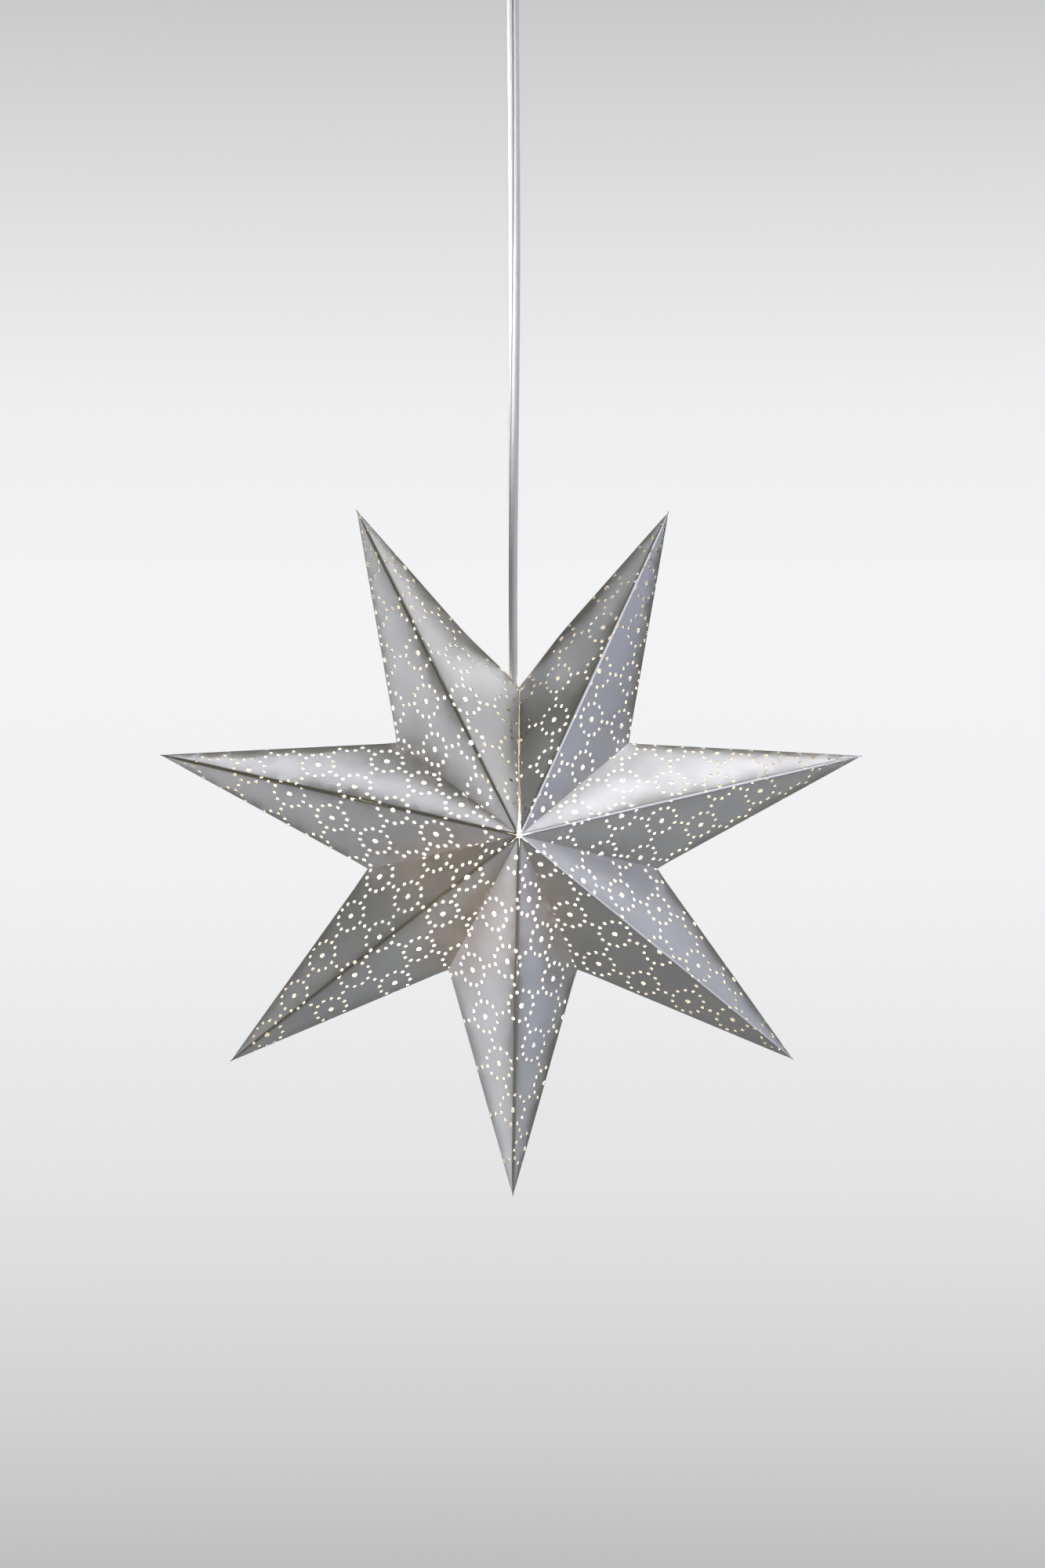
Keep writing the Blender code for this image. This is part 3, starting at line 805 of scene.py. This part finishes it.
def beside_the_cord(points, side):
    """Points of the seam's sheets, moved aside and bulged near the notch; side is -1 in front."""
    x = points[:, 0]
    up = points[:, 2] - CENTRE.z
    to_ridge = 0.95 * up * math.tan(SECTOR)
    reach = np.maximum(np.minimum(SEAM_REACH, to_ridge), 0.0001)
    near = smooth(1.0 - np.abs(x) / reach)
    away = np.hypot(x, points[:, 2] - NOTCH.z)
    moved = points.copy()
    moved[:, 0] += SEAM_SHIFT * np.clip(up / NOTCH_RADIUS, 0.0, 1.0) * near
    moved[:, 1] += side * NOTCH_LIFT * smooth(1.0 - (away - LIFT_FLAT) / LIFT_REACH)
    return moved


def make_sheet(name, facet, flat, faces, height, thickness, materials, seam_side=0):
    """A closed sheet from its flat triangles: foil outside, white inside, and dark grey at its cuts,
    partly the paper's grey core and partly painted shade at the rims of its holes.
    """
    lift = np.array(facet.w)
    base = np.array(facet.tip) + flat[:, :1] * np.array(facet.u) + flat[:, 1:] * np.array(facet.v)
    if seam_side:
        base = beside_the_cord(base, seam_side)
    outer = base + (height + PAPER / 2)[:, None] * lift
    inner = outer - thickness[:, None] * lift
    if facet.u.cross(facet.v).dot(facet.w) < 0.0:
        faces = faces[:, ::-1]
    count = len(flat)
    ends = np.concatenate([faces[:, [0, 1]], faces[:, [1, 2]], faces[:, [2, 0]]])
    paired = {(int(b), int(a)) for a, b in ends}
    rim = [(int(a), int(b)) for a, b in ends if (int(a), int(b)) not in paired]
    walls = [(b, a, a + count, b + count) for a, b in rim]
    polygons = [tuple(map(int, f)) for f in faces]
    polygons += [tuple(int(i) + count for i in f[::-1]) for f in faces]
    slots = [0] * len(faces) + [1] * len(faces) + [2] * len(walls)
    mesh = bpy.data.meshes.new(name)
    mesh.from_pydata(np.concatenate([outer, inner]).tolist(), [], polygons + walls)
    mesh.polygons.foreach_set("material_index", slots)
    used = np.zeros(2 * count, bool)
    used[faces.ravel()] = True
    used[faces.ravel() + count] = True
    bm = bmesh.new()
    bm.from_mesh(mesh)
    bm.verts.ensure_lookup_table()
    bmesh.ops.delete(bm, geom=[v for v in bm.verts if not used[v.index]], context="VERTS")
    bm.to_mesh(mesh)
    bm.free()
    for made in materials:
        mesh.materials.append(made)
    shade_round(mesh, 30)
    return link(bpy.data.objects.new(name, mesh))


def side_and_order(half, front):
    return f"{'front' if front else 'back'}_{('first', 'second')[half]}"


def make_panel(arm, half, front, materials):
    place = side_and_order(half, front)
    body = f"{ARMS[arm]}_arm_{place}"
    facet = Facet(arm, half, front)
    on_seam = (arm, half) in ((0, 0), (len(ARMS) - 1, 1))
    edges = crease_edges(facet, on_seam)
    loops = [inset_loop(edges, step / CREASE_STEPS) for step in range(CREASE_STEPS + 1)]
    if on_seam:
        loops = [cut_corner(loop, 1, SEAM_CORNER) for loop in loops]
    loops = [counter_clockwise(loop) for loop in loops]
    holes = fitted_holes(loops[0], pattern_holes(ARMS[arm], facet, half, front))
    seam_side = 0
    if on_seam:
        seam_side = -1 if front else 1
        down = (facet.corners[2] - facet.corners[1]).normalized()
        spot = facet.corners[1] + down * EYELET_DOWN + edges[1]["inward"] * EYELET_IN
        holes = [hole for hole in holes if (hole[0] - spot).length > 3 * EYELET_RADIUS]
        holes.append((spot, EYELET_RADIUS))
    flat, faces = sheet_triangles(loops, holes)
    height = crease_height(edges, flat) + bow_height(facet, flat, 4 * arm + 2 * half + front)
    name = f"{ARMS[arm]}_{place}_paper"
    thickness = fold_room(edges[2], flat, height)
    panel = make_sheet(name, facet, flat, faces, height, thickness, materials, seam_side)
    stands_for(panel, body, body)


def make_strip(name, grid, out, materials):
    """A closed strip of paper from rows of points on its middle; its foil faces out."""
    half = out.normalized() * PAPER / 2
    bm = bmesh.new()
    layers = []
    for shift in (half, -half):
        layers.append([[bm.verts.new(Vector(point) + shift) for point in row] for row in grid])
    loops = []
    for slot, layer in enumerate(layers):
        for row, following in zip(layer, layer[1:]):
            for corners in zip(row, row[1:], following[1:], following):
                bm.faces.new(corners).material_index = slot
        right = [row[-1] for row in layer[1:-1]]
        left = [row[0] for row in layer[-2:0:-1]]
        loops.append([*layer[0], *right, *layer[-1][::-1], *left])
    for step in range(len(loops[0])):
        corners = (loops[0][step - 1], loops[0][step], loops[1][step], loops[1][step - 1])
        # The strip's edges take the third material: dark grey, partly painted shade
        bm.faces.new(corners).material_index = 2
    strip = finish_mesh(name, bm, materials[0], 30)
    for made in materials[1:]:
        strip.data.materials.append(made)
    return strip


def along_and_inward(seam, towards):
    """The seam's direction, and the direction square to it that leads towards something."""
    along = seam.normalized()
    return along, (towards - along * towards.dot(along)).normalized()


def make_hem(arm, half, front, materials):
    """The edge of a seam panel's sheet, folded back flat behind it."""
    facet = Facet(arm, half, front)
    seam = facet.apex - facet.notch
    _, inward = along_and_inward(seam, facet.tip - facet.notch)
    to_ridge = (facet.tip - facet.apex).angle(facet.notch - facet.apex)
    grid = []
    for step in range(STRIP_STEPS + 1):
        share = HEM_FROM + (HEM_TO - HEM_FROM) * step / STRIP_STEPS
        room = 0.85 * (1.0 - share) * seam.length * math.tan(to_ridge) - HEM_SIDE
        width = min(HEM_WIDTH, room)
        start = facet.notch + seam * share + inward * HEM_SIDE - facet.w * HEM_BEHIND
        row = np.array([start + inward * width * across / 4 for across in range(5)])
        grid.append(beside_the_cord(row, -1 if front else 1))
    place = side_and_order(half, front)
    hem = make_strip(f"{ARMS[arm]}_{place}_hem", grid, facet.w, materials)
    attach(hem, f"{ARMS[arm]}_arm_{place}")


def make_flap(node, front, side, materials):
    """A flap of the seam, which stands in from it towards the lamp and springs open a little."""
    notch = on_circle(NOTCH_RADIUS, 0.0)
    apex = on_circle(0.0, 0.0, -HALF_DEPTH if front else HALF_DEPTH)
    seam = apex - notch
    along, inward = along_and_inward(seam, CENTRE - notch)
    offset = Vector((side * FLAP_SIDE, 0.0, 0.0))
    grid = []
    for step in range(STRIP_STEPS + 1):
        share = step / STRIP_STEPS
        foot = notch + seam * (FLAP_FROM + (FLAP_TO - FLAP_FROM) * share) + inward * FLAP_ROOM
        row = []
        for across in range(5):
            deep = across / 4
            slant = along * FLAP_WIDTH * 0.6 * deep * (1.0 - 2.0 * share)
            row.append(foot + slant + inward * FLAP_WIDTH * deep + offset * (1.0 + 1.2 * deep * deep))
        grid.append(beside_the_cord(np.array(row), -1 if front else 1))
    flap = make_strip(f"{node}_paper", grid, -offset, materials)
    stands_for(flap, node, node)


def make_star():
    white = paper_material("white_paper", (0.80, 0.78, 0.74), (0.88, 0.87, 0.84))
    # The cuts' dark grey is partly the paper's grey core and partly painted shade at the rims of the
    # holes
    cut = paper_material("cut_edge_grey_and_shade", (0.30, 0.29, 0.28), (0.42, 0.41, 0.40))
    materials = (foil_material(), white, cut)
    for arm in range(len(ARMS)):
        for half in (0, 1):
            for front in (True, False):
                make_panel(arm, half, front, materials)
    for arm, half in ((0, 0), (len(ARMS) - 1, 1)):
        for front in (True, False):
            make_hem(arm, half, front, materials)
    for front, place in ((True, "front"), (False, "back")):
        make_flap(f"seam_flap_{place}_fixed", front, -1, materials)
        make_flap(f"seam_flap_{place}_free", front, 1, materials)


make_star()


# ---------------- tie string


def make_string():
    """Two-ply cotton string, once round the cord and knotted behind it, with two short tails."""
    pale, dark = (0.84, 0.80, 0.72), (0.66, 0.60, 0.50)
    cotton = fibre_material("cotton_string", dark, pale, 0.85, 2600.0, 0.0001, 0.6, mix=0.7)
    radius, ply, pitch = 0.00430, 0.00026, 0.0022
    tail, steps = 0.012, 360
    centre = Vector((0.0, 0.0, NOTCH.z - 0.001))
    back = centre + Vector((0.0, radius, 0.0))
    bm = bmesh.new()
    for phase in (0.0, math.pi):
        path = []
        for step in range(steps + 1):
            turn = math.pi / 2 + 2 * math.pi * step / steps
            outward = Vector((math.cos(turn), math.sin(turn), 0.0))
            twist = phase + 2 * math.pi * step / steps * (2 * math.pi * radius / pitch)
            offset = outward * math.cos(twist) + Vector((0.0, 0.0, 1.0)) * math.sin(twist)
            path.append(centre + outward * radius + offset * ply)
        add_tube(bm, path, ply, 8)
        for side in (-1.0, 1.0):
            path = []
            for step in range(61):
                t = step / 60
                spot = back + Vector((side * 0.0035 * t, 0.0022 * math.sin(2.2 * t), -tail * t))
                twist = phase + 2 * math.pi * tail * t / pitch
                path.append(spot + Vector((math.cos(twist), math.sin(twist), 0.0)) * ply)
            add_tube(bm, path, ply, 8)
    size = 0.00042
    knot = []
    for step in range(73):
        turn = 2 * math.pi * step / 72
        x = math.sin(turn) + 2 * math.sin(2 * turn)
        z = math.cos(turn) - 2 * math.cos(2 * turn)
        knot.append(back + Vector((x * size, 0.0004 - math.sin(3 * turn) * size, z * size)))
    add_tube(bm, knot, 1.6 * ply, 10)
    string = finish_mesh("twisted_string", bm, cotton, 60)
    stands_for(string, "tie_string", "pendant")


make_string()


# ---------------- lampholder and bulb


def glass_material(name, alpha):
    """Clear glass that lets light straight through, with the reflections of its surface."""
    glass = Surface(name)
    glass.set(Base_Color=(0.08, 0.08, 0.075, 1.0), Alpha=alpha, Coat_Weight=0.6, Coat_Roughness=0.03)
    haze = glass.noise(90.0, 4.0)
    glass.rough(haze, 0.03, 0.10)
    glass.bump(haze, 0.0002, 0.15)
    return glass.material


def filament_material():
    """The yellow phosphor of a lit LED filament, brighter in its middle grain."""
    lit = Surface("lit_filament")
    lit.set(Emission_Strength=14.0, Roughness=0.6)
    colour = lit.colour(lit.noise(900.0, 3.0), (1.0, 0.52, 0.16), (1.0, 0.70, 0.36))
    lit.feed("Emission Color", colour)
    return lit.material


def holder_pieces(plastic):
    grip = [(GRIP_BORE, 0.0), (GRIP_RADIUS - 0.0004, 0.0)]
    ribs = 3
    for rib in range(ribs):
        top = 0.0006 + rib * 0.0010
        reach = GRIP_RADIUS - 0.0003 * (1.0 - rib / ribs)
        grip += [(reach, top), (reach, top + 0.0005)]
        grip += [(reach - 0.0004, top + 0.0006), (reach - 0.0004, top + 0.0009)]
    grip += [(GRIP_RADIUS, GRIP_SHOULDER), (GRIP_NECK, GRIP_SHOULDER)]
    grip += [(GRIP_NECK, GRIP_FOOT), (GRIP_BORE, GRIP_FOOT)]
    made = turned("grip_collar", rounded(grip, 0.0002), lamp_point, plastic)
    stands_for(made, "cord_grip", "pendant")

    flat, height, wall = 0.0070, 0.0120, HOLDER_WALL
    outer = []
    for step in range(17):
        turn = step / 16 * math.pi / 2
        reach = flat + (HOLDER_RADIUS - flat) * math.sin(turn)
        outer.append((reach, CAP_TOP + height * (1 - math.cos(turn))))
    inner = [(radius - wall, depth + 0.6 * wall) for radius, depth in reversed(outer)]
    bead = [(HOLDER_RADIUS, CAP_FOOT - 0.0016), (HOLDER_RADIUS - 0.0004, CAP_FOOT - 0.0012)]
    bead += [(HOLDER_RADIUS - 0.0004, CAP_FOOT - 0.0006), (HOLDER_RADIUS, CAP_FOOT - 0.0003)]
    foot = [(HOLDER_RADIUS, CAP_FOOT), (HOLDER_RADIUS - wall, CAP_FOOT)]
    dome = [(CAP_NECK, CAP_TOP), *outer, *bead, *foot, *inner, (CAP_NECK, CAP_TOP + wall)]
    made = turned("holder_dome", rounded(dome, 0.0002), lamp_point, plastic)
    stands_for(made, "lampholder_cap", "pendant")

    bore = HOLDER_RADIUS - wall
    top = CAP_FOOT + 0.0003
    skirt = [(bore, top), (HOLDER_RADIUS, top)]
    for ring in range(6):
        here = HOLDER_FOOT - 0.0130 + 0.0018 * ring
        skirt += [(HOLDER_RADIUS, here), (HOLDER_RADIUS - 0.0004, here + 0.0003)]
        skirt += [(HOLDER_RADIUS - 0.0004, here + 0.0006), (HOLDER_RADIUS, here + 0.0009)]
    skirt += [(HOLDER_RADIUS, HOLDER_FOOT - 0.0010), (HOLDER_RADIUS - 0.0010, HOLDER_FOOT)]
    skirt += [(bore, HOLDER_FOOT)]
    made = turned("holder_skirt", rounded(skirt, 0.0003), lamp_point, plastic)
    stands_for(made, "lampholder_body", "pendant")


def thread(first, last):
    """The depth of a knuckle thread, which fades out at both its ends."""

    def groove(radius, depth, turn):
        fade = smooth((depth - first) / THREAD_PITCH) * smooth((last - depth) / THREAD_PITCH)
        return fade * THREAD_DEPTH * (0.5 - 0.5 * math.cos(2 * math.pi * depth / THREAD_PITCH - turn))

    return groove


def thread_rows(radius, first, last, rows=10):
    count = round((last - first) / THREAD_PITCH * rows)
    return [(radius, first + (last - first) * row / count) for row in range(count + 1)]


def make_threads(brass, nickel):
    outer = thread_rows(SHELL_RADIUS, SHELL_FROM, SHELL_FOOT)
    wall = 0.0004
    inner = [(radius - wall, depth) for radius, depth in reversed(outer)]
    groove = thread(SHELL_FROM, SHELL_FOOT)
    shell = turned("threaded_shell", [*outer, *inner], lamp_point, brass, groove=groove)
    stands_for(shell, "screw_shell", "pendant")

    top = BULB_FROM + 0.0035
    last = GLASS_FROM - 0.0003
    outer = [(CAP_CONE_RADIUS, BULB_FROM + 0.0018), *thread_rows(E14_RADIUS, top, last)]
    inner = [(radius - wall, depth + 0.0003) for radius, depth in reversed(outer[:-1])]
    inner.insert(0, (E14_RADIUS - wall, last))
    groove = thread(top, last - 0.002)
    cap = turned("threaded_cap", [*outer, *inner], lamp_point, nickel, groove=groove)
    stands_for(cap, "bulb_cap", "bulb")


def bulb_outline(wall):
    """Radius and depth along the candle-shaped glass, a wall's thickness inside its outer face."""
    bulge_at = GLASS_FROM + GLASS_SWELL
    points = []
    for step in range(14):
        t = step / 14
        radius = GLASS_NECK + (BULB_RADIUS - GLASS_NECK) * float(smooth(t)) - wall
        points.append((radius, GLASS_FROM + GLASS_SWELL * t))
    length = BULB_TIP - bulge_at
    for step in range(24):
        turn = step / 24 * math.pi / 2
        radius = BULB_RADIUS * math.cos(turn) ** TIP_SHARPNESS - wall
        points.append((max(radius, 0.0006), bulge_at + (length - wall) * math.sin(turn)))
    return points


def make_bulb_glass():
    clear = glass_material("clear_glass", 0.10)
    outer = bulb_outline(0.0)
    inner = bulb_outline(GLASS_WALL)
    profile = [*outer, (0.0, BULB_TIP), (0.0, BULB_TIP - GLASS_WALL), *reversed(inner)]
    glass = turned("candle_glass", profile, lamp_point, clear)
    stands_for(glass, "bulb_glass", "bulb")
    stem = [(0.0, STEM_FROM), (STEM_FLARE, STEM_FROM), (STEM_FLARE / 2, STEM_FROM + 0.007)]
    stem += [(STEM_RADIUS, STEM_FROM + 0.013), (STEM_RADIUS, STEM_TO - 0.002)]
    stem += [(1.5 * STEM_RADIUS, STEM_TO - 0.001), (0.0, STEM_TO)]
    milky = glass_material("stem_glass", 0.35)
    made = turned("pressed_stem", rounded(stem, 0.0006), lamp_point, milky, closed=False)
    stands_for(made, "glass_stem", "bulb")


def make_filaments():
    """Each filament is a coated strip with a thinner wire end at its top and its foot."""
    lit = filament_material()
    for number in range(FILAMENTS):
        turn = 2 * math.pi * (number + 0.5) / FILAMENTS
        ends = []
        for reach, depth in ((FILAMENT_REACH_TOP, FILAMENT_FROM), (FILAMENT_REACH_FOOT, FILAMENT_TO)):
            ends.append(lamp_point(depth, reach * math.cos(turn), reach * math.sin(turn)))
        bm = bmesh.new()
        add_tube(bm, [ends[0].lerp(ends[1], t) for t in (0.04, 0.3, 0.6, 0.96)], FILAMENT_RADIUS, 16)
        for first, last in ((0.0, 0.045), (0.955, 1.0)):
            add_tube(bm, [ends[0].lerp(ends[1], first), ends[0].lerp(ends[1], last)], 0.0004, 10)
        made = finish_mesh(f"lit_filament_{number + 1}", bm, lit)
        stands_for(made, f"filament_{number + 1}", "bulb")


def make_lamp():
    white = plastic_material("holder_plastic", (0.74, 0.73, 0.70), (0.82, 0.81, 0.78))
    brass = metal_material("brass", (0.66, 0.48, 0.20), (0.80, 0.62, 0.32))
    nickel = metal_material("nickel", (0.60, 0.59, 0.56), (0.74, 0.73, 0.70))
    holder_pieces(white)
    make_threads(brass, nickel)
    make_bulb_glass()
    make_filaments()
    ceramic = plastic_material("carrier_ceramic", (0.78, 0.76, 0.70), (0.88, 0.87, 0.82), 0.45)
    black = plastic_material("black_glass", (0.015, 0.015, 0.018), (0.04, 0.04, 0.045), 0.18)
    brown = plastic_material("brown_core", (0.14, 0.07, 0.04), (0.20, 0.11, 0.06), 0.4)
    blue = plastic_material("blue_core", (0.03, 0.07, 0.24), (0.05, 0.11, 0.32), 0.4)
    for node, made in (
        ("contact_carrier", ceramic), ("bulb_insulator", black), ("bulb_contact", nickel),
        ("centre_contact", brass), ("live_terminal", brass), ("neutral_terminal", brass),
        ("live_core", brown), ("neutral_core", blue),
    ):
        repaint(node, made)


def repaint(node, made):
    """A CAD node that keeps its shape gets its procedural material."""
    materials = frame["nodes"][node].data.materials
    materials.clear()
    materials.append(made)


make_lamp()


# ---------------- ceiling fitting


def cup_side(wall):
    """The cup's side, a wall's thickness inside its outer face: a straight rim, then a quarter oval."""
    radius = CUP_RADIUS - wall
    flat = CUP_FLAT - wall
    points = [(radius, 0.0), (radius, CUP_RIM)]
    for step in range(1, 25):
        turn = step / 24 * math.pi / 2
        reach = flat + (radius - flat) * math.cos(turn)
        points.append((reach, CUP_RIM + (CUP_HEIGHT - wall - CUP_RIM) * math.sin(turn)))
    return points


def make_ceiling_fitting():
    white = plastic_material("cup_plastic", (0.76, 0.75, 0.73), (0.84, 0.83, 0.81), 0.28)
    foot = [(OUTLET_HOLE, CUP_HEIGHT), (OUTLET_HOLE, CUP_HEIGHT - CUP_WALL)]
    profile = [*cup_side(0.0), *foot, *reversed(cup_side(CUP_WALL))]
    cup = turned("cup_shell", rounded(profile, 0.0006), ceiling_point, white)
    stands_for(cup, "ceiling_cup", "ceiling_fitting")
    zinc = metal_material("zinc_plate", (0.50, 0.51, 0.53), (0.66, 0.67, 0.69), 0.36)
    nylon = plastic_material("block_nylon", (0.68, 0.67, 0.62), (0.78, 0.77, 0.73), 0.5)
    repaint("ceiling_plate", zinc)
    repaint("terminal_block", nylon)
    repaint("outlet_nut", white)


make_ceiling_fitting()


# ---------------- stage and lights


def make_light(name, place, target, size, power, colour=(1.0, 1.0, 1.0)):
    data = bpy.data.lights.new(name, "AREA")
    data.shape = "RECTANGLE"
    data.size, data.size_y = size
    data.energy = power
    data.color = colour
    light = link(bpy.data.objects.new(name, data))
    light.location = place
    light.rotation_euler = (Vector(target) - Vector(place)).to_track_quat("-Z", "Y").to_euler()
    light.visible_camera = False
    return light


def around(clock, distance, forward=0.0):
    """A place round the star: clock in degrees from the top, clockwise; forward towards the camera."""
    turn = math.radians(clock)
    return CENTRE + Vector((distance * math.sin(turn), -forward, distance * math.cos(turn)))


def make_lights():
    """Soft boxes round the star. Each facet of the foil mirrors the one that it faces."""
    ring = (
        ("top_left_soft", -10, 0.32, 1.75, (0.93, 0.92, 1.00)),
        ("top_right_soft", 13, 0.36, 1.6, (0.93, 0.92, 1.00)),
        ("upper_right_soft", 30, 0.78, 2.7, (0.98, 0.99, 1.00)),
        ("right_soft", 85, 0.78, 2.5, (0.72, 0.77, 1.00)),
        ("lower_right_soft", 137, 0.78, 0.95, (0.85, 0.92, 1.00)),
        ("lower_left_soft", 240, 0.78, 2.2, (0.93, 0.94, 1.00)),
        ("left_soft", 270, 0.78, 2.0, (0.89, 0.90, 1.00)),
        ("upper_left_soft", 330, 0.78, 0.45, (0.62, 0.80, 1.00)),
    )
    for name, clock, width, power, colour in ring:
        make_light(name, around(clock, 1.5), CENTRE, (width, 1.8), power, colour)
    make_light("front_right_soft", around(60, 1.2, 1.2), CENTRE, (1.5, 1.5), 6.0, (0.91, 0.93, 1.0))
    beside_cord = Vector((-0.45, -0.16, -0.20))
    cord_light = make_light("cord_soft", beside_cord, (0.0, 0.0, -0.20), (0.12, 0.30), 0.16)
    cord_light.data.spread = math.radians(25)


def make_lamp_light():
    data = bpy.data.lights.new("lamp_light", "POINT")
    data.energy = 2.4
    data.color = (1.0, 0.90, 0.74)
    data.shadow_soft_size = 0.008
    light = link(bpy.data.objects.new("lamp_light", data))
    light.location = lamp_point(0.093)
    light.visible_camera = False
    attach(light, "bulb")


def seen_or_lit(tree, lit, seen, output):
    """The output shows seen to the camera's own rays, and lit to all other light."""
    path = add_node(tree, "ShaderNodeLightPath")
    mix = add_node(tree, "ShaderNodeMixShader")
    tree.links.new(path.outputs["Is Camera Ray"], mix.inputs["Fac"])
    tree.links.new(lit, mix.inputs[1])
    tree.links.new(seen, mix.inputs[2])
    tree.links.new(mix.outputs["Shader"], output)


def make_world():
    """A room that is dim but for its front right and back left, and a pale backdrop with painted light
    falloff, lighter in its middle and darker at its top and bottom.
    """
    world = bpy.data.worlds.new("studio")
    world.use_nodes = True
    bpy.context.scene.world = world
    tree = world.node_tree
    front_right = (0.5, -0.866, 0.0)
    where = add_node(tree, "ShaderNodeTexCoord").outputs["Generated"]
    split = add_node(tree, "ShaderNodeSeparateXYZ")
    tree.links.new(where, split.inputs["Vector"])
    slant = add_node(tree, "ShaderNodeVectorMath", operation="DOT_PRODUCT")
    slant.inputs[1].default_value = front_right
    tree.links.new(where, slant.inputs[0])
    depth = add_node(tree, "ShaderNodeMath", operation="ABSOLUTE")
    tree.links.new(slant.outputs["Value"], depth.inputs[0])
    height = add_node(tree, "ShaderNodeMapRange", From_Min=-0.18, From_Max=0.20)
    tree.links.new(split.outputs["Z"], height.inputs["Value"])
    room = ((0.78, (0.090, 0.083, 0.045)), (0.93, (0.60, 0.61, 0.70)))
    # The backdrop's painted light falloff: greys by height, lighter in the middle and darker towards the
    # top and bottom
    painted_falloff_greys = (
        (0.0, 0.50), (0.09, 0.62), (0.25, 0.77), (0.45, 0.88),
        (0.62, 0.90), (0.75, 0.86), (0.86, 0.75), (1.0, 0.585),
    )
    backdrop = [(place, (0.995 * grey, grey, 1.01 * grey)) for place, grey in painted_falloff_greys]
    light = tree.nodes["Background"]
    seen = add_node(tree, "ShaderNodeBackground")
    tree.links.new(ramp_stops(tree, depth.outputs["Value"], room), light.inputs["Color"])
    tree.links.new(ramp_stops(tree, height.outputs["Result"], backdrop), seen.inputs["Color"])
    output = tree.nodes["World Output"].inputs["Surface"]
    seen_or_lit(tree, light.outputs["Background"], seen.outputs["Background"], output)


def make_floor():
    """A plain pale floor, as bright as the backdrop when the camera sees it."""
    pale = Surface("pale_floor")
    pale.set(Base_Color=(0.82, 0.83, 0.84, 1.0), Roughness=0.9)
    glow = pale.add("ShaderNodeEmission", Color=(0.64, 0.645, 0.65, 1.0))
    output = pale.tree.nodes["Material Output"].inputs["Surface"]
    seen_or_lit(pale.tree, pale.shader.outputs["BSDF"], glow.outputs["Emission"], output)
    bpy.ops.mesh.primitive_circle_add(vertices=96, radius=4.0, fill_type="NGON")
    floor = bpy.context.object
    floor.name = "floor"
    floor.location = (0.0, 0.0, CENTRE.z - 1.6)
    floor.data.materials.append(pale.material)


make_lights()
make_lamp_light()
make_world()
make_floor()
bpy.context.scene.view_settings.view_transform = "Standard"
